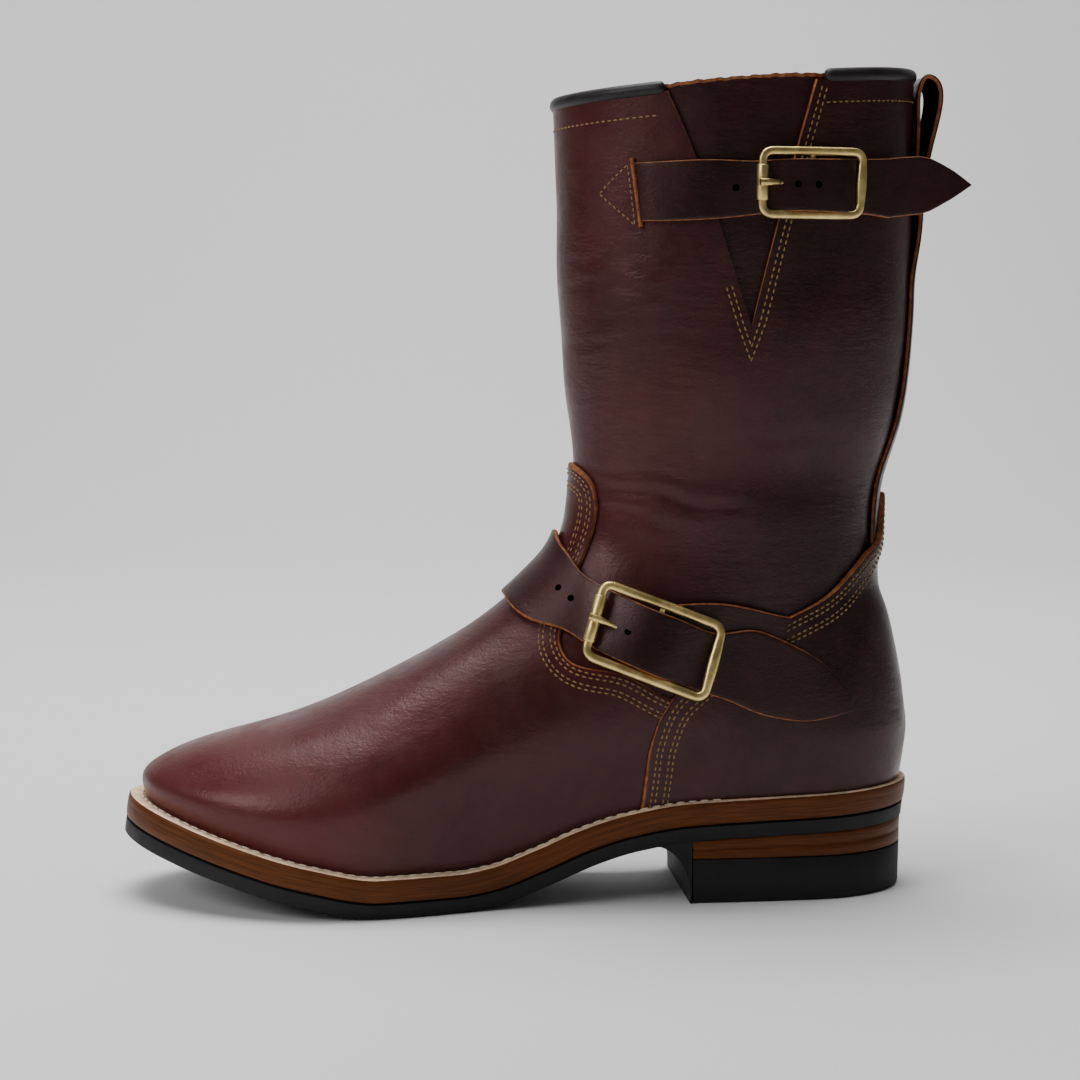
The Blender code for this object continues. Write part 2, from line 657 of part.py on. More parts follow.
cut(counter, prism("counter_area", counter_outline, -ball_width, ball_width), "INTERSECT")
cut(vamp, room)
cut(counter, room)

# Gusset behind the notch.
rows = []
for row in GUSSET:
    share = np.linspace(row.front, row.back, 7)
    inner = wall(share, row.level, -1.0, -upper_wall - 0.0025)
    outer = wall(share, row.level, -1.0, -upper_wall - 0.0010)
    rows.append(np.concatenate([inner, outer[::-1]]))
tube("gusset", rows)

# Collar binding, open over the gusset.
share = np.concatenate([np.linspace(0.655, 1.0, 9), np.linspace(0.93, 0.0, 19), np.linspace(0.05, 0.375, 8)])
side = np.array([-1.0] * 9 + [1.0] * 19 + [-1.0] * 8)
binding = []
for s, d in zip(share, side):
    middle = wall(s, collar, d, -upper_wall / 2)
    out = unit(wall(s, collar, d, 1.0) - wall(s, collar, d, 0.0))
    out = unit(out * [1, 1, 0])
    binding.append((middle + [0, 0, gap + 0.0019], out, np.array([0.0, 0.0, 1.0])))
tube("collar_binding", bar(binding, 0.0044, 0.0038))

# Backstay and pull loop, one strip up from the counter, over at the top and down against the shaft.
# The loop's middle line, measured back and up from the top of the leg's back line.
LoopRow = namedtuple("LoopRow", "back up")
LOOP = (
    LoopRow(0.0024, -0.0605),
    LoopRow(0.0034, -0.0475),
    LoopRow(0.0060, -0.0275),
    LoopRow(0.0096, -0.0120),
    LoopRow(0.0102, -0.0055),
    LoopRow(0.0080, 0.0001),
    LoopRow(0.0048, 0.0012),
    LoopRow(0.0022, -0.0025),
    LoopRow(0.0014, -0.0125),
    LoopRow(0.0012, -0.0285),
    LoopRow(0.0012, -0.0435),
)
half_strip = 0.0125
path = np.array(LOOP) + form(0.0, float(collar), -1.0)[[0, 2]]
square = np.gradient(path, axis=0)
square = np.stack([square[:, 1], -square[:, 0]], -1)
square /= np.linalg.norm(square, axis=1, keepdims=True)
sheets = []
for across in (-1.0, -0.5, 0.0, 0.5, 1.0):
    side = np.sign(across) or 1.0
    faces = []
    for out in (gap + 0.0002, gap + 0.0020):
        line = []
        for level in STRIP_LEVELS:
            share = np.linspace(0, 0.25, 6)
            there = np.interp(abs(across) * half_strip, np.abs(form(share, level, side)[:, 1]), share)
            line.append(wall(there, level, side, out))
        for x, z in path + square * (out - gap - 0.0009):
            line.append(np.array([x - 0.0016 * across**2, across * half_strip, z]))
        faces.append(line)
    sheets.append(faces)
strap("backstay", np.array(sheets))

# Instep strap: over the instep, through its buckle, to its tip.
outer_part = on_surface(INSTEP_STRAP, -1.0, 22)
inner_part = on_surface(INSTEP_INNER, 1.0, 11)
instep = strap("instep_strap", np.concatenate([inner_part[:, :, :0:-1], outer_part], axis=2))
top_part = on_surface(TOP_STRAP, -1.0, 16)
tail = []
for k, (reach, width) in enumerate(((0.0165, 0.98), (0.0265, 0.73), (0.0335, 0.46), (0.0420, 0.03))):
    heading = unit(top_part[2, 0, -1] - top_part[2, 0, -2] + [0.0, -0.0004, 0.00016])
    middle = top_part[2, 0, -1] + heading * reach + [0.0, -0.0010 * k, 0.0]
    square = unit(np.cross([0, 0, 1.0], heading))
    square = square * -np.sign(square[1])
    station = []
    for across in (-0.5, -0.25, 0.0, 0.25, 0.5):
        place = middle + np.array([0, 0, 1.0]) * across * width * strap_width
        station.append([place, place + square * strap_thickness])
    tail.append(station)
tail = np.array(tail).transpose(1, 2, 0, 3)
top = strap("top_strap", np.concatenate([top_part, tail], axis=2))

# Buckles, each with the slot that its prong comes out of.
top_hole = buckle("top_buckle", TOP_BUCKLE, (0.0063, 0.0084), 0.0022)
cut(top, top_hole)
instep_hole = buckle("instep_buckle", INSTEP_BUCKLE, (0.0108, 0.0104), 0.0026)
cut(instep, instep_hole)

# Chapes: the short straps behind the buckles that hold the centre bars.
for name, rows in (("top_chape", TOP_CHAPE), ("instep_chape", INSTEP_CHAPE)):
    strap(name, on_surface(rows, -1.0, 9, 0.0016))
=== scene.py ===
"""Dresses the left engineer boot: lasted leather pieces, straps, buckles, welted sole, seams and finishes."""

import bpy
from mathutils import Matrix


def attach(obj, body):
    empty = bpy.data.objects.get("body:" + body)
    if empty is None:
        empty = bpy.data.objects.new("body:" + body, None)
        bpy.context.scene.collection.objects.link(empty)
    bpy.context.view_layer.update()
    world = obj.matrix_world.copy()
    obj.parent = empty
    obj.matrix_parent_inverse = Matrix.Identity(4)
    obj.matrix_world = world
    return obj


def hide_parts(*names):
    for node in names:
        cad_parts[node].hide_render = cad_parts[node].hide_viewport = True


bl_info = {
    "name": "Engineer boot",
    "version": (1, 0, 0),
    "blender": (4, 5, 0),
    "location": "View3D > Sidebar > Boot",
    "description": "Makes a left engineer boot over its CAD frame, with its leather, seams, buckles and sole",
    "category": "Object",
}

from collections import namedtuple

import bmesh
import bpy
import numpy as np
from bpy.props import FloatProperty, FloatVectorProperty, PointerProperty
from mathutils import Matrix, Vector
from mathutils.bvhtree import BVHTree

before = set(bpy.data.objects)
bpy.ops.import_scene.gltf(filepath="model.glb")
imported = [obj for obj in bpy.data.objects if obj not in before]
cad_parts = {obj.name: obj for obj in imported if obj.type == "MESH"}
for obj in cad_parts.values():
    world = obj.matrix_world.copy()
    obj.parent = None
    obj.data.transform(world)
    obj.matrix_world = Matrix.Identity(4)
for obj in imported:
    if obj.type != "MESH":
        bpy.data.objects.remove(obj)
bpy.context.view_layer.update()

# Sizes of the last, the leg and the sole, in metres, as in the part's source.
LAST_LENGTH = 0.2938
LAST_BACK = 0.0415
BALL_WIDTH = 0.0860
WAIST_WIDTH = 0.0525
HEEL_WIDTH = 0.0610
INSTEP_HEIGHT = 0.1220
SHAFT_HEIGHT = 0.3105
COLLAR_DROP = 0.0110
SHAFT_DEPTH = 0.1380
SHAFT_WIDTH = 0.0960
LEG_CENTRE = -0.0240
HEEL_HEIGHT = 0.0237
TOE_SPRING = 0.0240
OUTSOLE_TOP = 0.0060
MIDSOLE_TOP = 0.0115
STACK = 0.0152
GAP = 0.0003
BREAST = -0.0430
LIFT_BOTTOM = 0.0167

# Leathers of the upper, its straps and its backstay.
UPPER_THICKNESS = 0.0020
STRAP_THICKNESS = 0.0022
STRAP_WIDTH = 0.0245
CHAPE_THICKNESS = 0.0016
BACKSTAY_THICKNESS = 0.0018

# How a cut edge is rounded: its radius, and the marks from the edge inwards that draw the round.
EDGE_RADIUS = 0.0007
EDGE_MARKS = (0.0, 0.00015, 0.0004, 0.0008)
# An edge between faces that turns by more than this, in radians, is shaded sharp.
SHARP_TURN = 0.95


def rows_of(kind, *rows):
    """A table whose numbers are known by the names of their kind of row."""
    return tuple(kind(*row) for row in rows)


SoleRow = namedtuple("SoleRow", "along heel toe")
SOLE_LINE = rows_of(
    SoleRow,
    (-0.020, 1.150, 0.0),
    (0.066, 1.110, 0.0),
    (0.287, 1.000, 0.0),
    (0.362, 0.850, 0.0),
    (0.413, 0.660, 0.0),
    (0.475, 0.340, 0.0),
    (0.540, 0.070, 0.0),
    (0.590, 0.0, 0.0),
    (0.690, 0.0, 0.0),
    (0.790, 0.0, 0.205),
    (0.905, 0.0, 0.565),
    (1.025, 0.0, 1.000),
)
PlanRow = namedtuple("PlanRow", "along centre skew")
PLAN = rows_of(
    PlanRow,
    (-0.02, 0.000, 0.000),
    (0.12, 0.000, 0.000),
    (0.28, -0.012, 0.030),
    (0.43, -0.030, 0.030),
    (0.55, 0.000, 0.000),
    (0.67, 0.022, 0.012),
    (0.79, 0.052, 0.016),
    (0.91, 0.082, 0.016),
    (1.02, 0.100, 0.012),
)
WeltRow = namedtuple("WeltRow", "along outer inner")
WELT = rows_of(
    WeltRow,
    (-0.02, 0.057, 0.057),
    (0.15, 0.060, 0.058),
    (0.40, 0.072, 0.055),
    (0.55, 0.086, 0.066),
    (0.75, 0.092, 0.086),
    (1.02, 0.100, 0.100),
)
STATIONS = (0.93, 0.67, 0.43, 0.20, 0.06)
FOOT_COLUMNS = "front front_rise back back_rise nose round toe ball waist seat heel sag swing"
FootRow = namedtuple("FootRow", FOOT_COLUMNS)
FOOT = rows_of(
    FootRow,
    (1.000, 0.000, 0.000, 0.000, 0.240, 0.125, 1.000, 1.000, 1.000, 1.000, 1.000, 1.00, 1.00),
    (0.991, 0.062, -0.006, 0.145, 0.245, 0.130, 1.050, 1.050, 1.120, 1.080, 1.080, 0.86, 1.00),
    (0.978, 0.115, -0.004, 0.220, 0.270, 0.132, 1.060, 1.075, 1.220, 1.105, 1.105, 0.70, 0.96),
    (0.919, 0.222, 0.000, 0.296, 0.350, 0.135, 1.050, 1.085, 1.280, 1.110, 1.105, 0.50, 0.90),
    (0.820, 0.350, 0.006, 0.380, 0.370, 0.138, 1.050, 1.085, 1.320, 1.100, 1.095, 0.32, 0.80),
    (0.722, 0.490, 0.013, 0.460, 0.355, 0.142, 1.050, 1.085, 1.330, 1.090, 1.080, 0.18, 0.68),
    (0.631, 0.605, 0.022, 0.541, 0.335, 0.150, 1.050, 1.080, 1.330, 1.085, 1.075, 0.08, 0.56),
    (0.550, 0.715, 0.032, 0.611, 0.312, 0.160, 1.050, 1.060, 1.330, 1.095, 1.085, 0.03, 0.44),
    (0.488, 0.805, 0.034, 0.693, 0.288, 0.172, 1.050, 1.040, 1.330, 1.125, 1.115, 0.00, 0.32),
    (0.449, 0.880, 0.034, 0.775, 0.258, 0.184, 1.050, 1.020, 1.350, 1.160, 1.150, 0.00, 0.20),
    (0.433, 1.000, 0.033, 0.865, 0.226, 0.192, 1.050, 1.000, 1.390, 1.195, 1.185, 0.00, 0.10),
)
ShaftRow = namedtuple("ShaftRow", "front back front_rise back_rise width")
SHAFT = rows_of(
    ShaftRow,
    (0.444, 0.421, 0.123, 0.090, 0.770),
    (0.462, 0.465, 0.255, 0.215, 0.860),
    (0.477, 0.490, 0.425, 0.394, 0.935),
    (0.488, 0.498, 0.648, 0.603, 0.975),
    (0.494, 0.500, 0.845, 0.812, 0.990),
    (0.500, 0.500, 1.000, 1.000, 1.000),
)

# Pattern edges, as places round the form and levels up it. Round runs from 0 at the back, by the
# outer side, to 1 at the front, and on by the inner side to 2.
EdgeRow = namedtuple("EdgeRow", "round level")
# About how many metres of leather one round and one level are, for even steps along an edge.
STEP_LENGTHS = (0.30, 0.013)
VAMP_TOP = rows_of(
    EdgeRow,
    (0.421, 4.10),
    (0.480, 4.97),
    (0.536, 5.50),
    (0.575, 5.68),
    (0.615, 5.90),
    (0.655, 6.26),
    (0.705, 6.85),
    (0.770, 7.85),
    (0.812, 8.60),
    (0.826, 9.24),
    (0.827, 9.82),
    (0.838, 10.28),
    (0.872, 10.62),
    (0.935, 10.80),
    (1.000, 10.86),
)
COUNTER_FRONT = rows_of(
    EdgeRow,
    (0.397, 0.00),
    (0.397, 0.40),
    (0.397, 0.95),
    (0.404, 2.73),
    (0.410, 3.21),
    (0.421, 4.10),
)
COUNTER_TOP = rows_of(
    EdgeRow,
    (0.421, 4.10),
    (0.405, 5.20),
    (0.365, 6.10),
    (0.317, 6.64),
    (0.262, 7.14),
    (0.214, 7.77),
    (0.160, 8.35),
    (0.100, 8.90),
    (0.050, 9.65),
    (0.000, 10.45),
)
StrapRow = namedtuple("StrapRow", "low_round low_level high_round high_level lift")
INSTEP_STRAP = rows_of(
    StrapRow,
    (1.635, 2.20, 1.615, 5.05, 0.0036),
    (1.585, 3.30, 1.545, 6.10, 0.0034),
    (1.520, 4.50, 1.455, 7.10, 0.0034),
    (1.440, 5.55, 1.360, 7.85, 0.0034),
    (1.340, 6.45, 1.255, 8.35, 0.0032),
    (1.230, 7.00, 1.150, 8.75, 0.0031),
    (1.120, 7.33, 1.075, 9.10, 0.0030),
    (1.000, 7.53, 1.000, 9.34, 0.0030),
    (0.880, 7.33, 0.925, 9.10, 0.0030),
    (0.770, 7.00, 0.850, 8.75, 0.0029),
    (0.700, 6.82, 0.785, 8.32, 0.0028),
    (0.636, 6.44, 0.719, 7.98, 0.0029),
    (0.561, 5.88, 0.636, 7.58, 0.0062),
    (0.501, 5.41, 0.565, 7.20, 0.0088),
    (0.445, 4.84, 0.500, 6.81, 0.0074),
    (0.396, 4.20, 0.437, 6.34, 0.0049),
    (0.350, 3.55, 0.392, 6.30, 0.0049),
    (0.310, 2.95, 0.348, 5.92, 0.0049),
    (0.267, 2.55, 0.303, 5.38, 0.0048),
    (0.240, 2.50, 0.264, 4.75, 0.0044),
    (0.216, 2.57, 0.228, 3.90, 0.0038),
    (0.195, 2.66, 0.194, 2.80, 0.0034),
)
TOP_STRAP = rows_of(
    StrapRow,
    (0.710, 14.28, 0.716, 15.00, -0.0016),
    (0.680, 14.28, 0.688, 15.00, 0.0002),
    (0.640, 14.28, 0.645, 15.00, 0.0006),
    (0.570, 14.30, 0.573, 15.00, 0.0005),
    (0.508, 14.34, 0.509, 14.97, 0.0006),
    (0.455, 14.38, 0.455, 14.98, 0.0040),
    (0.405, 14.38, 0.405, 14.975, 0.0062),
    (0.352, 14.37, 0.352, 14.975, 0.0050),
    (0.300, 14.36, 0.300, 14.98, 0.0030),
    (0.245, 14.33, 0.245, 14.99, 0.0030),
)
# The side notch's lower point and its two ends at the collar, and the gusset behind it.
NOTCH_POINT = EdgeRow(0.505, 13.15)
NOTCH_ENDS = (EdgeRow(0.651, 16.0), EdgeRow(0.391, 16.0))
GUSSET_ENDS = (EdgeRow(0.700, 15.96), EdgeRow(0.350, 15.96))
GUSSET_POINTS = (EdgeRow(0.535, 12.85), EdgeRow(0.475, 12.85))
TOP_CHAPE = rows_of(
    StrapRow,
    (0.400, 14.42, 0.400, 14.93, 0.0006),
    (0.340, 14.42, 0.340, 14.93, 0.0004),
    (0.270, 14.42, 0.270, 14.93, 0.0004),
    (0.215, 14.42, 0.215, 14.93, 0.0004),
)
INSTEP_CHAPE = rows_of(
    StrapRow,
    (0.520, 5.60, 0.575, 7.35, 0.0028),
    (0.430, 4.75, 0.480, 7.35, 0.0027),
    (0.370, 4.40, 0.405, 7.05, 0.0027),
    (0.330, 4.40, 0.332, 6.55, 0.0028),
)
# Corners of the buckles' frames, from the front top and on by the back.
TOP_BUCKLE = rows_of(
    EdgeRow,
    (0.4934, 15.086),
    (0.3041, 15.048),
    (0.3098, 14.344),
    (0.4944, 14.345),
)
INSTEP_BUCKLE = rows_of(
    EdgeRow,
    (0.7286, 8.173),
    (0.4416, 6.599),
    (0.3943, 4.068),
    (0.6254, 6.238),
)

# The pull loop's middle line in side view, from where the backstay leaves the leg.
LoopRow = namedtuple("LoopRow", "x z")
LOOP = rows_of(
    LoopRow,
    (0.0474, 0.2500),
    (0.0484, 0.2630),
    (0.0510, 0.2830),
    (0.0546, 0.2985),
    (0.0552, 0.3050),
    (0.0530, 0.3106),
    (0.0498, 0.3117),
    (0.0472, 0.3080),
    (0.0464, 0.2980),
    (0.0462, 0.2820),
    (0.0462, 0.2670),
)

# How far the rows of stitches lie inside the edges of the vamp and counter, and of the notch.
SEAM_ROWS = (0.0022, 0.0039, 0.0069, 0.0086)
NOTCH_SEAM_ROWS = (0.0026, 0.0046)
# Stitch pitches of the slit and of the welt, and how far the collar's row lies under the rim.
SLIT_PITCH = 0.0022
WELT_PITCH = 0.0046
COLLAR_SEAM_DROP = 0.0085
# The slit that the collar strap comes out of, and the stitched point in front of it.
SLIT = (EdgeRow(0.7190, 15.06), EdgeRow(0.7030, 14.22))
SLIT_SEAM = (
    (EdgeRow(0.7300, 14.98), EdgeRow(0.7960, 14.62)),
    (EdgeRow(0.7960, 14.62), EdgeRow(0.7170, 14.24)),
    (EdgeRow(0.7170, 14.24), EdgeRow(0.7300, 14.98)),
)
# The collar strap's free end: its length, shares of it, and its half width at each.
TAIL_REACH = 0.0425
TAIL = ((0.0, 0.38, 0.50, 0.62, 0.77, 0.88, 1.0), (1.0, 0.99, 0.90, 0.73, 0.49, 0.27, 0.012))
# Punched holes of the straps, as shares along and across the table rows.
HOLE_RADIUS = 0.0013
HoleRow = namedtuple("HoleRow", "row across")
INSTEP_HOLES = (HoleRow(9.25, 0.50), HoleRow(10.02, 0.50), HoleRow(12.25, 0.50))
TOP_HOLES = (HoleRow(3.55, 0.50), HoleRow(5.35, 0.50), HoleRow(6.00, 0.50))

# Creases of the leather, placed in side view. A side of -1 is the outer one.
CreaseRow = namedtuple("CreaseRow", "x z side length width turn depth")
CREASES = rows_of(
    CreaseRow,
    (-0.072, 0.243, -1, 0.016, 0.0022, 4, 0.00050),
    (-0.062, 0.238, -1, 0.014, 0.0020, -8, 0.00042),
    (-0.070, 0.232, -1, 0.018, 0.0024, -3, 0.00060),
    (-0.056, 0.228, -1, 0.013, 0.0020, -12, 0.00038),
    (-0.066, 0.221, -1, 0.016, 0.0024, 2, 0.00045),
    (-0.074, 0.212, -1, 0.012, 0.0022, 6, 0.00040),
    (-0.050, 0.214, -1, 0.012, 0.0022, -6, 0.00030),
    (-0.066, 0.163, -1, 0.016, 0.0030, -4, 0.00055),
    (-0.058, 0.155, -1, 0.020, 0.0034, -9, 0.00075),
    (-0.064, 0.146, -1, 0.014, 0.0030, -14, 0.00060),
    (-0.040, 0.150, -1, 0.016, 0.0036, -2, 0.00050),
    (-0.012, 0.176, -1, 0.020, 0.0045, 3, 0.00035),
    (-0.064, 0.160, 1, 0.018, 0.0032, 5, 0.00060),
    (-0.056, 0.148, 1, 0.020, 0.0036, 9, 0.00080),
    (-0.030, 0.142, 1, 0.020, 0.0038, 2, 0.00060),
    (0.002, 0.148, 1, 0.018, 0.0040, -8, 0.00055),
    (-0.062, 0.236, 1, 0.020, 0.0026, -4, 0.00050),
    (-0.040, 0.226, 1, 0.018, 0.0026, 5, 0.00045),
    (-0.010, 0.212, 1, 0.022, 0.0036, 2, 0.00040),
    (-0.115, 0.104, -1, 0.010, 0.0040, 30, 0.00025),
    (-0.140, 0.072, -1, 0.014, 0.0050, 40, 0.00022),
    (-0.128, 0.080, 1, 0.016, 0.0050, -40, 0.00030),
)


def spline(knots, values, at):
    """The natural cubic through the values at the knots."""
    knots, values, at = (np.asarray(item, float) for item in (knots, values, at))
    count = len(knots)
    width = np.diff(knots)
    matrix = np.eye(count)
    right = np.zeros_like(values)
    for i in range(1, count - 1):
        matrix[i, i - 1 : i + 2] = width[i - 1], 2 * (width[i - 1] + width[i]), width[i]
        after = (values[i + 1] - values[i]) / width[i]
        right[i] = 6 * (after - (values[i] - values[i - 1]) / width[i - 1])
    bend = np.linalg.solve(matrix, right)
    k = np.clip(np.searchsorted(knots, at, side="right") - 1, 0, count - 2)
    more = (1,) * (values.ndim - 1)
    t = (at - knots[k]).reshape(at.shape + more)
    s = (knots[k + 1] - at).reshape(at.shape + more)
    w = width[k].reshape(at.shape + more)
    curve = (bend[k] * s**3 + bend[k + 1] * t**3) / (6 * w)
    return curve + (values[k] / w - bend[k] * w / 6) * s + (values[k + 1] / w - bend[k + 1] * w / 6) * t


def underside(x):
    """Height of the outsole's underside. It keeps level between two equal rows."""
    table = np.array(SOLE_LINE)
    knots, values = table[:, 0], table[:, 1] * HEEL_HEIGHT + table[:, 2] * TOE_SPRING
    rise = np.diff(values) / np.diff(knots)
    slope = np.concatenate([rise[:1], np.zeros(len(rise) - 1), rise[-1:]])
    same = rise[:-1] * rise[1:] > 0
    slope[1:-1][same] = 2 / (1 / rise[:-1][same] + 1 / rise[1:][same])
    at = (LAST_BACK - np.asarray(x, float)) / LAST_LENGTH
    k = np.clip(np.searchsorted(knots, at, side="right") - 1, 0, len(knots) - 2)
    h = np.diff(knots)[k]
    t = np.clip((at - knots[k]) / h, 0, 1)
    low = (1 + 2 * t) * (1 - t) ** 2 * values[k] + t * (1 - t) ** 2 * h * slope[k]
    past = np.clip(at - knots[-1], 0, None) * slope[-1]
    return low + t * t * (3 - 2 * t) * values[k + 1] + t * t * (t - 1) * h * slope[k + 1] + past


def over_sole(x, y, lift):
    """Places that lie lift above the underside, square to it."""
    x = np.asarray(x, float)
    slope = (underside(x + 0.0005) - underside(x - 0.0005)) / 0.001
    size = np.sqrt(1 + slope**2)
    x, y, lift = np.broadcast_arrays(x, y, lift)
    return np.stack([x - lift * slope / size, y, underside(x) + lift / size], -1)


def section_table():
    """One row of plain sizes for each section, from the feather line up to the collar."""
    rows = []
    for r in FOOT:
        ends = []
        for along, rise in ((r.front, r.front_rise), (r.back, r.back_rise)):
            x = LAST_BACK - along * LAST_LENGTH
            foot = over_sole(x, 0.0, STACK + GAP)
            ends += [foot[0] if rise == 0 else x, foot[2] + rise * INSTEP_HEIGHT]
        widths = np.array([r.toe, r.ball, r.waist, r.seat, r.heel]) / 2
        widths *= [BALL_WIDTH, BALL_WIDTH, WAIST_WIDTH, HEEL_WIDTH, HEEL_WIDTH]
        rows.append([*ends, r.nose * LAST_LENGTH, r.round * LAST_LENGTH, *widths, r.sag, r.swing])
    front, back = rows[-1][1], rows[-1][3]
    for r in SHAFT:
        half = (r.front + r.back) * SHAFT_DEPTH / 2
        ends = [
            LEG_CENTRE - r.front * SHAFT_DEPTH,
            front + r.front_rise * (SHAFT_HEIGHT - COLLAR_DROP - front),
            LEG_CENTRE + r.back * SHAFT_DEPTH,
            back + r.back_rise * (SHAFT_HEIGHT - back),
        ]
        rows.append([*ends, half, half, *[r.width * SHAFT_WIDTH / 2] * 5, 0.0, 0.0])
    return np.array(rows)


SECTIONS = section_table()
COLLAR = len(SECTIONS) - 1


def form(share, level, side):
    """A place on the last and leg. share runs from the back line, 0, to the front line, 1."""
    row = spline(np.arange(len(SECTIONS)), SECTIONS, level)
    front_x, front_z, back_x, back_z, nose, heel_round = row.T[:6]
    sag, swing = np.clip(row.T[11:13], 0, 1)
    reach = (1 - np.cos(np.pi * share)) / 2
    feather = over_sole(LAST_BACK - reach * LAST_LENGTH, 0.0, STACK + GAP)
    first = SECTIONS[0]
    x = back_x + (front_x - back_x) * reach
    z = back_z + (front_z - back_z) * reach
    along = (LAST_BACK - x) / LAST_LENGTH
    x = x + sag * (feather[:, 0] - first[2] - (first[0] - first[2]) * reach)
    z = z + sag * (feather[:, 2] - first[3] - (first[1] - first[3]) * reach)
    stations = np.array(STATIONS[::-1])
    weights = spline(stations, np.eye(len(stations)), np.clip(along, stations[0], stations[-1]))
    half = (weights[:, ::-1] * row[:, 6:11]).sum(1)
    near_front = np.clip((back_x - front_x) * (1 - reach) / nose, 0, 1)
    near_back = np.clip((back_x - front_x) * reach / heel_round, 0, 1)
    closing = np.sqrt((1 - (1 - near_front) ** 2) * (1 - (1 - near_back) ** 2))
    plan = np.array(PLAN)
    bend = spline(plan[:, 0], plan[:, 1:], np.clip(along, plan[0, 0], plan[-1, 0]))
    bend = bend * (BALL_WIDTH * swing)[:, None]
    y = bend[:, 0] + side * (half - side * bend[:, 1]) * closing
    return np.stack([x, y, z], -1)


def around(place, level):
    """The form at a place round it, counted from the back by the outer side."""
    place = np.mod(place, 2.0)
    return form(1 - np.abs(1 - place), level, np.where(place < 1, -1.0, 1.0))


def wear(points, place):
    """Slow unevenness of handled leather, and its creases."""
    x, y, z = points.T
    uneven = np.sin(x * 95 + 1.3) * np.sin(z * 71 + y * 60 + 0.4) + 0.7 * np.sin(z * 142 - x * 58 + y * 90)
    on_leg = np.clip((z - 0.12) / 0.05, 0, 1) * np.clip((0.300 - z) / 0.02, 0, 1)
    sunk = uneven * 0.00028 * on_leg
    side = np.where(np.mod(place, 2.0) < 1, -1, 1)
    depth = bpy.context.scene.boot_leather.crease_depth
    for row in CREASES:
        turn = np.radians(row.turn)
        near = (side == row.side) & (np.abs(x - row.x) < 3 * row.length) & (np.abs(z - row.z) < 0.03)
        ahead = (x - row.x)[near] * np.cos(turn) + (z - row.z)[near] * np.sin(turn)
        across = (z - row.z)[near] * np.cos(turn) - (x - row.x)[near] * np.sin(turn)
        across = across + 0.0007 * np.sin(ahead * 230 + row.x * 900)
        far = (across / row.width) ** 2
        sunk[near] -= depth * row.depth * (1 - 1.4 * far) * np.exp(-far - (ahead / row.length) ** 2)
    return sunk


def lasted(place, level, out=0.0, worn=True):
    """Places on the form, moved out square to it and worn."""
    place, level, out = np.broadcast_arrays(*(np.asarray(item, float) for item in (place, level, out)))
    shape = place.shape
    place, level, out = place.ravel(), level.ravel(), out.ravel()
    step = 1e-3
    here = around(place, level)
    ahead = around(place + step, level) - around(place - step, level)
    rise = around(place, np.minimum(level + 0.02, COLLAR)) - around(place, np.maximum(level - 0.02, 0))
    square = np.cross(rise, ahead)
    square /= np.linalg.norm(square, axis=-1, keepdims=True)
    if worn:
        out = out + wear(here, place)
    return (here + square * out[:, None]).reshape(shape + (3,))


def unit(vector):
    """The vector, or each of them, at length 1."""
    vector = np.asarray(vector, float)
    return vector / np.linalg.norm(vector, axis=-1, keepdims=True)


def walked_along(line, scale=1.0):
    """The way walked from the line's start to each of its points."""
    steps = np.linalg.norm(np.diff(line, axis=0) * scale, axis=1)
    return np.concatenate([[0], np.cumsum(steps)])


def ruler(length, step):
    """Marks along a length, fine near both ends so that the edges can be rounded."""
    fine = np.array(EDGE_MARKS)
    inner = max(2, int(round((length - 2 * fine[-1]) / step)))
    middle = np.linspace(fine[-1], length - fine[-1], inner + 1)[1:-1]
    return np.concatenate([fine, middle, length - fine[::-1]]) / length


def edge_drop(marks, length, radius=EDGE_RADIUS):
    """How far a rounded edge falls at each mark."""
    from_edge = np.minimum(marks, 1 - marks) * length
    t = np.clip(from_edge / radius, 0, 1)
    return radius * (1 - np.sqrt(1 - (1 - t) ** 2))


def turn_smooth(mesh):
    """Smooth shading, but for sharp edges."""
    for edge in mesh.edges:
        edge.smooth = edge.calc_face_angle(0.0) < SHARP_TURN
    for face in mesh.faces:
        face.smooth = True


def finish_piece(name, mesh, finishes, nodes=()):
    """Hands the mesh to the scene as a piece of the boot."""
    bmesh.ops.recalc_face_normals(mesh, faces=mesh.faces)
    turn_smooth(mesh)
    data = bpy.data.meshes.new(name)
    mesh.to_mesh(data)
    mesh.free()
    piece = bpy.data.objects.new(name, data)
    bpy.context.scene.collection.objects.link(piece)
    for finish in finishes:
        data.materials.append(bpy.data.materials[finish])
    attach(piece, "root")
    if nodes:
        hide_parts(*nodes)


def flat_grid(mesh, columns, rows):
    """A flat grid of one by one, whose places tell a corner's column and row."""
    bmesh.ops.create_grid(mesh, x_segments=columns - 1, y_segments=rows - 1, size=0.5)


def raise_copy(mesh):
    """Extrudes the flat grid by one, so that leather gets its upper face and its cut edges."""
    raised = bmesh.ops.extrude_face_region(mesh, geom=mesh.faces[:])
    top = [v for v in raised["geom"] if isinstance(v, bmesh.types.BMVert)]
    bmesh.ops.translate(mesh, vec=(0, 0, 1), verts=top)


def grid_index(mesh, columns, rows):
    """Column and row of each vertex, and whether it is on the raised face."""
    places = np.array([v.co for v in mesh.verts])
    column = np.rint((places[:, 0] + 0.5) * (columns - 1)).astype(int)
    row = np.rint((places[:, 1] + 0.5) * (rows - 1)).astype(int)
    return column, row, places[:, 2] > 0.5


def shape_to(mesh, places):
    """Moves each vertex to its place."""
    for vertex, place in zip(mesh.verts, places):
        vertex.co = place


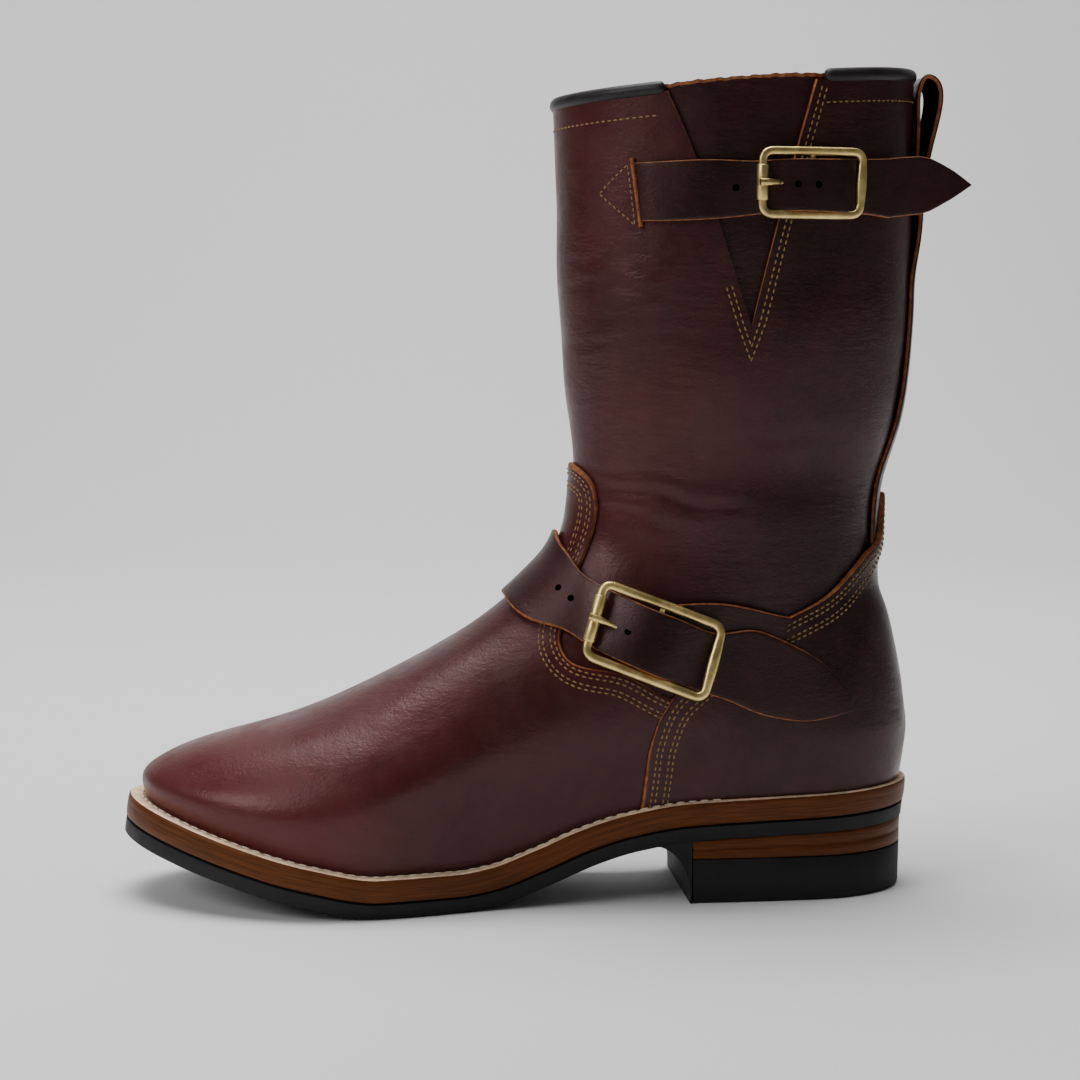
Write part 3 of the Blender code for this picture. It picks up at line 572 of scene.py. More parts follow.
def cut_sheet(upper_face, under_face, raw=(0, 0, 0, 0), under_finish=0):
    """A piece of leather with its cut edges as material 1, from its two faces.

    raw says how many cells of the upper face are cut edge too: at its first and last columns, and
    at its first and last rows. under_finish is the material of the under face.
    """
    columns, rows = upper_face.shape[:2]
    mesh = bmesh.new()
    flat_grid(mesh, columns, rows)
    raise_copy(mesh)
    column, row, top = grid_index(mesh, columns, rows)
    for face in mesh.faces:
        heights = [v.co.z for v in face.verts]
        middle = face.calc_center_median()
        cell = int((middle.x + 0.5) * (columns - 1)), int((middle.y + 0.5) * (rows - 1))
        border = cell[0] < raw[0] or cell[0] >= columns - 1 - raw[1]
        border = border or cell[1] < raw[2] or cell[1] >= rows - 1 - raw[3]
        edge = border and min(heights) > 0.5 or max(heights) - min(heights) > 0.5
        face.material_index = 1 if edge else under_finish * int(max(heights) < 0.5)
    shape_to(mesh, np.where(top[:, None], upper_face[column, row], under_face[column, row]))
    bmesh.ops.remove_doubles(mesh, verts=mesh.verts, dist=1e-7)
    return mesh


def swept(rings, round_path=False, lifts=None):
    """A closed section carried along a path. Rings are path by section."""
    rings = np.concatenate([rings, rings[:, :1]], axis=1)
    if round_path:
        rings = np.concatenate([rings, rings[:1]])
    columns, rows = rings.shape[:2]
    mesh = bmesh.new()
    flat_grid(mesh, columns, rows)
    column, row, _ = grid_index(mesh, columns, rows)
    shape_to(mesh, rings[column, row])
    if lifts is not None:
        layer = mesh.verts.layers.float.new("lift")
        for vertex, along in zip(mesh.verts, row % (rows - 1)):
            vertex[layer] = lifts[along]
    bmesh.ops.remove_doubles(mesh, verts=mesh.verts, dist=1e-7)
    bmesh.ops.holes_fill(mesh, edges=[e for e in mesh.edges if e.is_boundary], sides=0)
    return mesh


def strip(middle, thickness, marks, width, radius=EDGE_RADIUS, under_finish=0):
    """A leather strip with rounded cut edges, from its middle surface, which is along by across."""
    along = unit(np.gradient(middle, axis=0))
    across = unit(np.gradient(middle, axis=1))
    square = unit(np.cross(along, across))
    drop = edge_drop(marks, width, radius)[None, :, None]
    upper_face = middle + square * (thickness / 2 - drop)
    under_face = middle - square * (thickness / 2 - drop)
    return cut_sheet(upper_face, under_face, (0, 0, 2, 2), under_finish)


def strap_middle(rows, stations, marks, thickness):
    """The middle surface of a strap whose table gives places, levels and lifts."""
    rows = np.array(rows)
    rows = spline(np.arange(len(rows)), rows, np.linspace(0, len(rows) - 1, stations))
    place = rows[:, None, 0] * (1 - marks) + rows[:, None, 2] * marks
    level = rows[:, None, 1] * (1 - marks) + rows[:, None, 3] * marks
    return lasted(place, level, rows[:, None, 4] + thickness / 2, worn=False)


def patch(bottom, top, left, right, columns, rows):
    """Places and levels of a pattern piece between its four edges."""
    c = columns[:, None, None]
    r = rows[None, :, None]
    sides = (1 - r) * bottom[:, None] + r * top[:, None] + (1 - c) * left[None] + c * right[None]
    low = (1 - c) * bottom[0] + c * bottom[-1]
    high = (1 - c) * top[0] + c * top[-1]
    return sides - (1 - r) * low - r * high


def at_marks(rows, marks):
    """A smooth line through edge rows, at shares of its length over the leather."""
    rows = np.array(rows)
    walked = walked_along(rows, STEP_LENGTHS)
    fine = spline(walked, rows, np.linspace(0, walked[-1], 400))
    walked = walked_along(lasted(fine[:, 0], fine[:, 1], worn=False))
    walked /= walked[-1]
    return np.stack([np.interp(marks, walked, fine[:, k]) for k in range(2)], -1)


def between(start, end, share):
    """Places and levels at shares of the way from one edge row to another."""
    return [first + (last - first) * share for first, last in zip(start, end)]


def mirrored(rows):
    """The edge, and the same edge on the inner side, met at its last row."""
    return rows + tuple(EdgeRow(2 - row.round, row.level) for row in rows[-2::-1])


class Seams:
    """Stitches gathered into one mesh."""

    def __init__(self):
        self.mesh = bmesh.new()

    def sew(self, line, over, pitch=None, share=0.70, sunk=0.25):
        """A row of stitches along a line over a piece. share is how much of the pitch is thread."""
        leather = bpy.context.scene.boot_leather
        pitch = pitch or leather.stitch_pitch
        walked = walked_along(line)
        count = max(2, int(walked[-1] / pitch))
        marks = (np.arange(count) + 0.5) * walked[-1] / count
        centres = np.stack([np.interp(marks, walked, line[:, k]) for k in range(3)], -1)
        ahead = np.stack([np.interp(marks + 0.0004, walked, line[:, k]) for k in range(3)], -1)
        width = leather.thread_width
        for centre, after in zip(centres, ahead):
            hit, square, _, _ = over.find_nearest(Vector(centre))
            along = Vector(after - centre)
            along = (along - square * along.dot(square)).normalized()
            across = square.cross(along)
            thread = along * (pitch * share / 2), across * (width / 2), square * (width * 0.42)
            turned = Matrix(thread).transposed().to_4x4()
            turned.translation = hit + square * width * (0.42 - sunk - 0.1)
            bmesh.ops.create_uvsphere(self.mesh, u_segments=6, v_segments=4, radius=1.0, matrix=turned)


def surface_of(name):
    """A tree for finding the nearest place on a piece."""
    data = bpy.data.objects[name].data
    points = [vertex.co.copy() for vertex in data.vertices]
    return BVHTree.FromPolygons(points, [list(face.vertices) for face in data.polygons])


def beside(place, level, distance, smoothing=8, out=0.0010):
    """A line over the leather, moved to its left by a distance, as seen from outside."""
    line = lasted(place, level, out)
    squares = unit(lasted(place, level, out + 0.001) - line)
    moved = line + np.cross(squares, unit(np.gradient(line, axis=0))) * distance
    for _ in range(smoothing):
        moved[1:-1] = (moved[:-2] + 2 * moved[1:-1] + moved[2:]) / 4
    return moved


def outline(margin, taper=0.0, steps=150):
    """The last's feather line moved out in plan, as its outer and inner sides."""
    share = np.linspace(0, 1, steps)
    reach = (1 - np.cos(np.pi * share)) / 2
    table = np.array(WELT)
    sides = []
    for side, column in ((-1.0, 1), (1.0, 2)):
        line = form(share, np.zeros(steps), side)[:, :2]
        line[:, 0] = LAST_BACK - reach * LAST_LENGTH
        ahead = np.gradient(line, axis=0)
        ahead[0], ahead[-1] = (0, side), (0, -side)
        square = unit(np.stack([ahead[:, 1], -ahead[:, 0]], -1) * side)
        out = spline(table[:, 0], table[:, column], reach) * BALL_WIDTH
        sides.append(line + square * (margin * out + taper)[:, None])
    return sides


def sole_plate(name, rows, finishes, nodes):
    """A plate that follows the sole. Each row is a lift and a taper of its edge."""
    edges = [outline(1.0, taper) for _, taper in rows]
    lifts = [lift for lift, _ in rows]
    outer, inner = ([over_sole(*edge[k].T, lift) for edge, lift in zip(edges, lifts)] for k in range(2))
    bottom, top = (over_sole(*((edges[k][0] + edges[k][1]) / 2).T, lifts[k]) for k in (0, -1))
    ring = [*outer, top, *inner[::-1], bottom]
    heights = [*lifts, lifts[-1], *lifts[::-1], lifts[0]]
    mesh = swept(np.array(ring).transpose(1, 0, 2), lifts=heights)
    finish_piece(name, mesh, finishes, nodes)


class BootLeather(bpy.types.PropertyGroup):
    """Sizes of the leather, its seams and creases."""

    crease_depth: FloatProperty(
        name="Crease depth", description="How strongly the leather is creased", default=0.55, min=0.0
    )
    overlay: FloatProperty(
        name="Overlay", description="Thickness of the vamp and the counter", default=0.0018, unit="LENGTH"
    )
    stitch_pitch: FloatProperty(
        name="Stitch pitch", description="From one stitch to the next", default=0.0026, unit="LENGTH"
    )
    thread_width: FloatProperty(
        name="Thread width", description="Width of the upper's thread", default=0.0007, unit="LENGTH"
    )
    strip_width: FloatProperty(
        name="Backstay width", description="Width of the backstay strip", default=0.0250, unit="LENGTH"
    )


COLOUR = {"subtype": "COLOR", "size": 3}


class BootColours(bpy.types.PropertyGroup):
    """Colours of the boot's finishes."""

    leather: FloatVectorProperty(
        name="Leather", description="Dark of the oiled leather", default=(0.0110, 0.0036, 0.0037), **COLOUR
    )
    # Besides the pull-up wear, this redder tone is drawn in as painted light on the front of the boot, which
    # faces the key light.
    leather_worn_and_lit: FloatVectorProperty(
        name="Pulled-up leather",
        description="Redder tone where the leather is pulled tight",
        default=(0.078, 0.0125, 0.0130),
        **COLOUR,
    )
    raw_edge: FloatVectorProperty(
        name="Raw edge", description="Cut edge of the leather", default=(0.26, 0.085, 0.028), **COLOUR
    )
    thread: FloatVectorProperty(
        name="Thread", description="The upper's thread", default=(0.28, 0.165, 0.062), **COLOUR
    )
    welt_thread: FloatVectorProperty(
        name="Welt thread", description="The welt's thread", default=(0.80, 0.74, 0.60), **COLOUR
    )
    welt: FloatVectorProperty(
        name="Welt", description="The welt's upper face", default=(0.78, 0.55, 0.37), **COLOUR
    )
    sole_edge: FloatVectorProperty(
        name="Sole edge",
        description="Stained edge of welt, midsole and heel lift",
        default=(0.085, 0.0230, 0.0060),
        **COLOUR,
    )
    rubber: FloatVectorProperty(
        name="Rubber", description="Outsole and heel", default=(0.0065, 0.0065, 0.0065), **COLOUR
    )
    brass: FloatVectorProperty(
        name="Brass", description="Buckles", default=(0.84, 0.62, 0.25), **COLOUR
    )
    binding: FloatVectorProperty(
        name="Binding", description="Collar binding", default=(0.016, 0.012, 0.013), **COLOUR
    )
    lining: FloatVectorProperty(
        name="Lining", description="Inside of the shaft", default=(0.30, 0.17, 0.085), **COLOUR
    )
    floor: FloatVectorProperty(
        name="Floor", description="The studio floor", default=(0.80, 0.80, 0.80), **COLOUR
    )


def new_finish(name):
    """A material with its shader joined to its output."""
    material = bpy.data.materials.new(name)
    material.use_nodes = True
    nodes = material.node_tree.nodes
    nodes.clear()
    output = nodes.new("ShaderNodeOutputMaterial")
    shader = nodes.new("ShaderNodeBsdfPrincipled")
    material.node_tree.links.new(shader.outputs[0], output.inputs[0])
    return material, shader


class Tree:
    """Short ways to add and join a material's nodes."""

    def __init__(self, material):
        self.nodes = material.node_tree.nodes
        self.links = material.node_tree.links
        self.place = self.nodes.new("ShaderNodeTexCoord").outputs["Object"]

    def join(self, start, end):
        self.links.new(start, end)

    def noise(self, scale, detail=4.0, rough=0.55, place=None):
        node = self.nodes.new("ShaderNodeTexNoise")
        node.inputs["Scale"].default_value = scale
        node.inputs["Detail"].default_value = detail
        node.inputs["Roughness"].default_value = rough
        self.join(place or self.place, node.inputs["Vector"])
        return node.outputs["Fac"]

    def cells(self, scale):
        node = self.nodes.new("ShaderNodeTexVoronoi")
        node.inputs["Scale"].default_value = scale
        self.join(self.place, node.inputs["Vector"])
        return node.outputs["Distance"]

    def axis(self, name):
        node = self.nodes.new("ShaderNodeSeparateXYZ")
        self.join(self.place, node.inputs[0])
        return node.outputs[name]

    def stretched(self, scale):
        node = self.nodes.new("ShaderNodeMapping")
        node.inputs["Scale"].default_value = scale
        self.join(self.place, node.inputs["Vector"])
        return node.outputs["Vector"]

    def ranged(self, value, low, high, to_low=0.0, to_high=1.0):
        node = self.nodes.new("ShaderNodeMapRange")
        node.interpolation_type = "SMOOTHSTEP"
        for socket, number in zip(node.inputs[1:5], (low, high, to_low, to_high)):
            socket.default_value = number
        self.join(value, node.inputs[0])
        return node.outputs[0]

    def maths(self, how, first, second):
        node = self.nodes.new("ShaderNodeMath")
        node.operation = how
        for socket, value in zip(node.inputs, (first, second)):
            if isinstance(value, (int, float)):
                socket.default_value = value
            else:
                self.join(value, socket)
        return node.outputs[0]

    def blend(self, share, low, high):
        node = self.nodes.new("ShaderNodeMix")
        node.data_type = "RGBA"
        self.join(share, node.inputs["Factor"])
        for socket, value in ((node.inputs["A"], low), (node.inputs["B"], high)):
            if isinstance(value, bpy.types.NodeSocket):
                self.join(value, socket)
            else:
                socket.default_value = (*value, 1.0)
        return node.outputs["Result"]

    def bump(self, shader, height, distance, strength=1.0, before=None):
        node = self.nodes.new("ShaderNodeBump")
        node.inputs["Strength"].default_value = strength
        node.inputs["Distance"].default_value = distance
        self.join(height, node.inputs["Height"])
        if before:
            self.join(before, node.inputs["Normal"])
        self.join(node.outputs[0], shader.inputs["Normal"])
        return node.outputs[0]


def leather_finish(name, dark, worn, gloss, worn_toe_and_lit_front=True):
    """Oiled pull-up leather: clouds of a redder tone, more of it at the pulled-up toe, and painted light that
    makes the front, towards the key light, redder too; over a grain.
    """
    material, shader = new_finish(name)
    tree = Tree(material)
    clouds = tree.ranged(tree.noise(11.0, 4.0, 0.55), 0.35, 0.75, 0.0, 0.45)
    fine = tree.ranged(tree.noise(150.0, 4.0, 0.6), 0.35, 0.75, -0.06, 0.12)
    share = tree.maths("ADD", clouds, fine)
    if worn_toe_and_lit_front:
        # The toe is redder where the pulled-up leather is stretched over the last.
        forward = tree.ranged(tree.axis("X"), -0.250, -0.120, 0.65, 0.0)
        # Painted light: the front of the boot, which faces the key light, is painted towards the redder tone.
        front = tree.ranged(tree.axis("X"), -0.085, 0.015, 0.32, 0.0)
        share = tree.maths("ADD", tree.maths("ADD", share, forward), front)
    # The blend reaches the worn colour through the clouds, the toe's wear and the painted light on the front.
    colour = tree.blend(share, dark, worn)
    tree.join(colour, shader.inputs["Base Color"])
    uneven = tree.noise(60.0, 4.0, 0.6)
    tree.join(tree.ranged(uneven, 0.3, 0.75, gloss - 0.05, gloss + 0.13), shader.inputs["Roughness"])
    shader.inputs["Coat Weight"].default_value = 0.05
    shader.inputs["Coat Roughness"].default_value = 0.28
    shader.inputs["Specular IOR Level"].default_value = 0.42
    # Painted reflection: the reddish specular tint stands in for warm light from surroundings that the scene
    # does not have.
    shader.inputs["Specular Tint"].default_value = (1.0, 0.70, 0.68, 1.0)
    grain = tree.cells(900.0)
    pebble = tree.noise(420.0, 3.0, 0.6)
    wrinkle = tree.noise(1.0, 5.0, 0.62, tree.stretched((120.0, 120.0, 380.0)))
    where = tree.ranged(tree.noise(16.0, 2.0, 0.5), 0.42, 0.68, 0.25, 1.0)
    first = tree.bump(shader, tree.ranged(grain, 0.0, 0.6), 0.00010, 0.30)
    second = tree.bump(shader, pebble, 0.00022, 0.40, first)
    tree.bump(shader, tree.maths("MULTIPLY", wrinkle, where), 0.0009, 0.42, second)


def plain_finish(
    name, colour, rough, spread=0.35, scale=180.0, bump=0.00012, strength=0.4, metal=0.0, specular=0.3
):
    """A finish whose tone and roughness wander a little."""
    material, shader = new_finish(name)
    tree = Tree(material)
    cloud = tree.noise(scale, 5.0, 0.62)
    dark = tuple(part * (1 - spread) for part in colour)
    light = tuple(min(1.0, part * (1 + spread)) for part in colour)
    tree.join(tree.blend(tree.ranged(cloud, 0.3, 0.72), dark, light), shader.inputs["Base Color"])
    tree.join(tree.ranged(cloud, 0.3, 0.75, rough - 0.06, rough + 0.08), shader.inputs["Roughness"])
    shader.inputs["Metallic"].default_value = metal
    shader.inputs["Specular IOR Level"].default_value = specular
    tree.bump(shader, tree.noise(scale * 4, 4.0, 0.6), bump, strength)


def edge_finish(name, colour, rough):
    """A stained, striated sole edge. It follows each piece's lift attribute."""
    material, shader = new_finish(name)
    tree = Tree(material)
    lift = tree.nodes.new("ShaderNodeAttribute")
    lift.attribute_name = "lift"
    join = tree.nodes.new("ShaderNodeCombineXYZ")
    tree.join(tree.maths("MULTIPLY", tree.axis("X"), 60.0), join.inputs[0])
    tree.join(tree.maths("MULTIPLY", tree.axis("Y"), 60.0), join.inputs[1])
    tree.join(tree.maths("MULTIPLY", lift.outputs["Fac"], 2600.0), join.inputs[2])
    lines = tree.noise(1.0, 4.0, 0.6, join.outputs[0])
    dark = tuple(part * 0.62 for part in colour)
    light = tuple(part * 1.40 for part in colour)
    tree.join(tree.blend(tree.ranged(lines, 0.36, 0.66), dark, light), shader.inputs["Base Color"])
    shader.inputs["Roughness"].default_value = rough
    shader.inputs["Specular IOR Level"].default_value = 0.3
    # Painted reflection: the warm specular tint stands in for warm light from surroundings that the scene
    # does not have.
    shader.inputs["Specular Tint"].default_value = (1.0, 0.66, 0.42, 1.0)
    tree.bump(shader, lines, 0.00014, 0.35)


class BOOT_OT_finishes(bpy.types.Operator):
    """Makes the boot's leathers, rubber, thread and brass"""

    bl_idname = "boot.finishes"
    bl_label = "Finishes"

    def execute(self, context):
        c = context.scene.boot_colours
        leather_finish("oxblood_leather", c.leather, c.leather_worn_and_lit, 0.34)
        leather_finish("strap_leather", c.leather, tuple(part * 0.8 for part in c.leather_worn_and_lit), 0.36, False)
        plain_finish("raw_edge", c.raw_edge, 0.75, 0.45, 420.0, 0.0003, 0.7)
        plain_finish("tan_thread", c.thread, 0.62, 0.25, 900.0, 0.0001, 0.5)
        plain_finish("welt_thread", c.welt_thread, 0.62, 0.18, 900.0, 0.0001, 0.5)
        plain_finish("welt_top", c.welt, 0.66, 0.28, 240.0, 0.0002, 0.5)
        edge_finish("sole_edge", c.sole_edge, 0.48)
        plain_finish("rubber", c.rubber, 0.62, 0.35, 160.0, 0.0002, 0.5)
        plain_finish("brass", c.brass, 0.36, 0.22, 130.0, 0.00015, 0.35, 1.0, 0.5)
        plain_finish("binding", c.binding, 0.42, 0.35, 160.0, 0.0002, 0.5)
        plain_finish("lining", c.lining, 0.72, 0.25, 90.0, 0.0002, 0.4)
        plain_finish("flesh_side", (0.010, 0.007, 0.006), 0.92, specular=0.0)
        # Painted shade: the near-black insides of the punched holes.
        plain_finish("hole_painted_shade", (0.002, 0.0015, 0.0015), 0.85, specular=0.0)
        return {"FINISHED"}


class BOOT_OT_upper(bpy.types.Operator):
    """Makes the leg and quarters, one piece with its side notch"""

    bl_idname = "boot.upper"
    bl_label = "Upper"

    def execute(self, context):
        foot = [np.linspace(0, 4, 9)[:-1], np.linspace(4, 10, 49)[:-1]]
        rows = np.concatenate([*foot, np.linspace(10, COLLAR, 98)])
        columns = 250
        mesh = bmesh.new()
        flat_grid(mesh, columns, len(rows))
        marks = np.linspace(0, 1, len(rows)) * (len(rows) - 1)
        for vertex in mesh.verts:
            vertex.co.x = (vertex.co.x + 0.5) * 2
            vertex.co.y = np.interp((vertex.co.y + 0.5) * (len(rows) - 1), marks, rows)
        for end in NOTCH_ENDS:
            ahead = Vector((end.round - NOTCH_POINT.round, end.level - NOTCH_POINT.level, 0))
            around_here = [f for f in mesh.faces if f.calc_center_median().x < 1]
            parts = {v for f in around_here for v in f.verts} | {e for f in around_here for e in f.edges}
            bmesh.ops.bisect_plane(
                mesh,
                geom=[*around_here, *parts],
                plane_co=(NOTCH_POINT.round, NOTCH_POINT.level, 0),
                plane_no=Vector((ahead.y, -ahead.x, 0)).normalized(),
                dist=1e-6,
            )
        gone = []
        for face in mesh.faces:
            middle = face.calc_center_median()
            up = (middle.y - NOTCH_POINT.level) / (COLLAR - NOTCH_POINT.level)
            front, back = (NOTCH_POINT.round + (end.round - NOTCH_POINT.round) * up for end in NOTCH_ENDS)
            if up > 0 and back < middle.x < front:
                gone.append(face)
        bmesh.ops.delete(mesh, geom=gone, context="FACES")
        raise_copy(mesh)
        flat = np.array([v.co for v in mesh.verts])
        back_wall = [f for f in mesh.faces if all(v.co.x < 1e-5 or v.co.x > 2 - 1e-5 for v in f.verts)]
        for face in mesh.faces:
            heights = [v.co.z for v in face.verts]
            side = max(heights) - min(heights) > 0.5
            face.material_index = 1 if side else int(max(heights) < 0.5) * 2
        shape_to(mesh, lasted(flat[:, 0], flat[:, 1], np.where(flat[:, 2] > 0.5, 0.0, -UPPER_THICKNESS)))
        bmesh.ops.delete(mesh, geom=back_wall, context="FACES_ONLY")
        bmesh.ops.remove_doubles(mesh, verts=mesh.verts, dist=1e-6)
        finishes = ("oxblood_leather", "raw_edge", "lining")
        finish_piece("boot_upper", mesh, finishes, ("upper",))
        return {"FINISHED"}


# How high the vamp and counter are, for the round of their edges, and half the gap between them, as a
# share round the form.
OVERLAY_HEIGHT = 0.060
SIDE_GAP = 0.0024


def strip_cover(place, level):
    """How far the counter stands out to pass over the backstay strip's lower end."""
    y = np.abs(around(place.ravel(), level.ravel())[:, 1]).reshape(place.shape)
    half = bpy.context.scene.boot_leather.strip_width / 2
    near = np.clip((half + 0.0050 - y) / 0.0050, 0, 1)
    above = np.clip((level - 7.7) / 1.2, 0, 1)
    return 0.0021 * near**2 * (3 - 2 * near) * above**2 * (3 - 2 * above)


class BOOT_OT_overlays(bpy.types.Operator):
    """Makes the vamp and the counter, lasted over the upper, with cut edges"""

    bl_idname = "boot.overlays"
    bl_label = "Vamp and counter"

    def execute(self, context):
        overlay = context.scene.boot_leather.overlay
        vamp_top = mirrored(VAMP_TOP)
        counter_top = [EdgeRow(-row.round, row.level) for row in COUNTER_TOP] + [*COUNTER_TOP[-2::-1]]
        jobs = (
            ("boot_vamp", vamp_top, 1, 0.350, 300, 100, 0.0, ("vamp",)),
            ("boot_counter", counter_top, -1, 0.130, 200, 90, 0.0004, ("counter",)),
        )
        for name, top_rows, way, length, columns, rows, extra, nodes in jobs:
            fine = np.array(EDGE_MARKS) / length
            inner = np.linspace(fine[-1], 1 - fine[-1], columns)[1:-1]
            across = np.concatenate([fine, inner, 1 - fine[::-1]])
            fine = np.array(EDGE_MARKS) / OVERLAY_HEIGHT
            up = np.concatenate([np.linspace(0, 1 - fine[-1], rows)[:-1], 1 - fine[::-1]])
            top = at_marks(top_rows, across)
            side = at_marks(COUNTER_FRONT, up)
            if way > 0:
                left, right = side, side * [-1, 1] + [2, 0]
            else:
                left, right = side * [-1, 1], side
            shift = SIDE_GAP * way
            left = left + [shift, 0]
            right = right - [shift, 0]
            bottom_round = left[0, 0] + (right[0, 0] - left[0, 0]) * across
            bottom = np.stack([bottom_round, np.zeros(len(across))], -1)
            top[:, 0] += np.linspace(shift, -shift, len(across))
            laid = patch(bottom, top, left, right, across, up)
            place, level = laid[..., 0], laid[..., 1]
            over = GAP + overlay + extra
            if way < 0:
                under = GAP + strip_cover(place, level)
                over = over + strip_cover(place, level)
            else:
                under = np.full(place.shape, GAP)
                over = np.full(place.shape, over)
            from_side = edge_drop(across, length)[:, None]
            from_top = np.where(up > 0.5, edge_drop(up, OVERLAY_HEIGHT), 0.0)[None, :]
            over = over - np.maximum(from_side, from_top)
            raw = (1, 1, 0, 2) if way > 0 else (2, 2, 0, 2)
            mesh = cut_sheet(lasted(place, level, over), lasted(place, level, under), raw)
            finish_piece(name, mesh, ("oxblood_leather", "raw_edge"), nodes)
        return {"FINISHED"}


class BOOT_OT_gusset(bpy.types.Operator):
    """Makes the gusset behind the side notch"""

    bl_idname = "boot.gusset"
    bl_label = "Gusset"

    def execute(self, context):
        across, up = np.linspace(0, 1, 60)[:, None], np.linspace(0, 1, 90)[None, :]
        low = [point.round for point in GUSSET_POINTS]
        high = [end.round for end in GUSSET_ENDS]
        front = low[0] + (high[0] - low[0]) * up
        back = low[1] + (high[1] - low[1]) * up
        place = back + (front - back) * across
        level = GUSSET_POINTS[0].level + (GUSSET_ENDS[0].level - GUSSET_POINTS[0].level) * up + 0 * across
        level = level + 0.05 * np.sin(across * 3.1) * up
        bulge = 0.0012 * np.sin(np.pi * across) * up
        level = np.minimum(level, COLLAR)
        rough = 0.0030 + 0.0003 * np.sin(place * 260) * np.sin(place * 71)
        lift = np.clip((up - 0.85) / 0.15, 0, 1) ** 2 * rough
        rise = np.stack([0 * lift, 0 * lift, lift], -1)
        upper_face, under_face = (lasted(place, level, bulge - sunk) + rise for sunk in (0.0026, 0.0045))
        mesh = cut_sheet(upper_face, under_face, (0, 0, 0, 1))
        finish_piece("boot_gusset", mesh, ("strap_leather", "raw_edge"), ("gusset",))
        return {"FINISHED"}


class BOOT_OT_binding(bpy.types.Operator):
    """Makes the rolled collar binding, open over the gusset"""

    bl_idname = "boot.binding"
    bl_label = "Collar binding"

    def execute(self, context):
        count = 420
        path = np.linspace(0.655, 2.375, count)
        middle = lasted(path, float(COLLAR), -0.0010) + [0, 0, 0.0012]
        out = unit((lasted(path, float(COLLAR), 0.01) - middle) * [1, 1, 0])
        ahead = unit(np.gradient(middle, axis=0))
        up = np.cross(out, ahead)
        up = unit(up * np.sign(up[:, 2:]))
        turn = np.linspace(0, 2 * np.pi, 17)[:-1]
        from_end = np.clip(np.minimum(np.arange(count), np.arange(count)[::-1]) / 3, 0.0, 1)
        taper = (0.35 + 0.65 * np.sqrt(1 - (1 - from_end) ** 2))[:, None, None]
        wave = 1 + 0.04 * np.sin(path * 61)[:, None, None]
        rings = middle[:, None] + out[:, None] * np.cos(turn)[None, :, None] * 0.0022 * taper * wave
        rings = rings + up[:, None] * np.sin(turn)[None, :, None] * 0.0026 * taper
        finish_piece("boot_binding", swept(rings), ("binding",), ("collar_binding",))
        return {"FINISHED"}


class BOOT_OT_backstay(bpy.types.Operator):
    """Makes the backstay strip and the pull loop, one strip folded over the collar"""

    bl_idname = "boot.backstay"
    bl_label = "Backstay and pull loop"

    def execute(self, context):
        width = context.scene.boot_leather.strip_width
        marks = ruler(width, 0.0018)
        across = (marks * 2 - 1) * width / 2
        stations = []
        share = np.linspace(0, 0.3, 60)
        for level in np.concatenate([np.linspace(8.7, 12, 12), np.linspace(12.4, 13.7, 5)]):
            there = around(share, np.full(60, level))
            place = np.interp(np.abs(across), np.abs(there[:, 1]), share) * -np.sign(across)
            stations.append(lasted(place, level, GAP + 0.0011, worn=False))
        bow = 0.0016 * (marks * 2 - 1) ** 2
        for x, z in LOOP:
            stations.append(np.stack([x - bow, across, np.full(len(across), z)], -1))
        stations = np.array(stations)
        walked = walked_along(stations[:, len(marks) // 2])
        flat = spline(walked, stations.reshape(len(stations), -1), np.linspace(0, walked[-1], 200))
        middle = flat.reshape(200, len(marks), 3)
        mesh = strip(middle, BACKSTAY_THICKNESS, marks, width, 0.0006, 2)
        finishes = ("flesh_side", "raw_edge", "strap_leather")
        finish_piece("boot_backstay", mesh, finishes, ("backstay",))
        return {"FINISHED"}


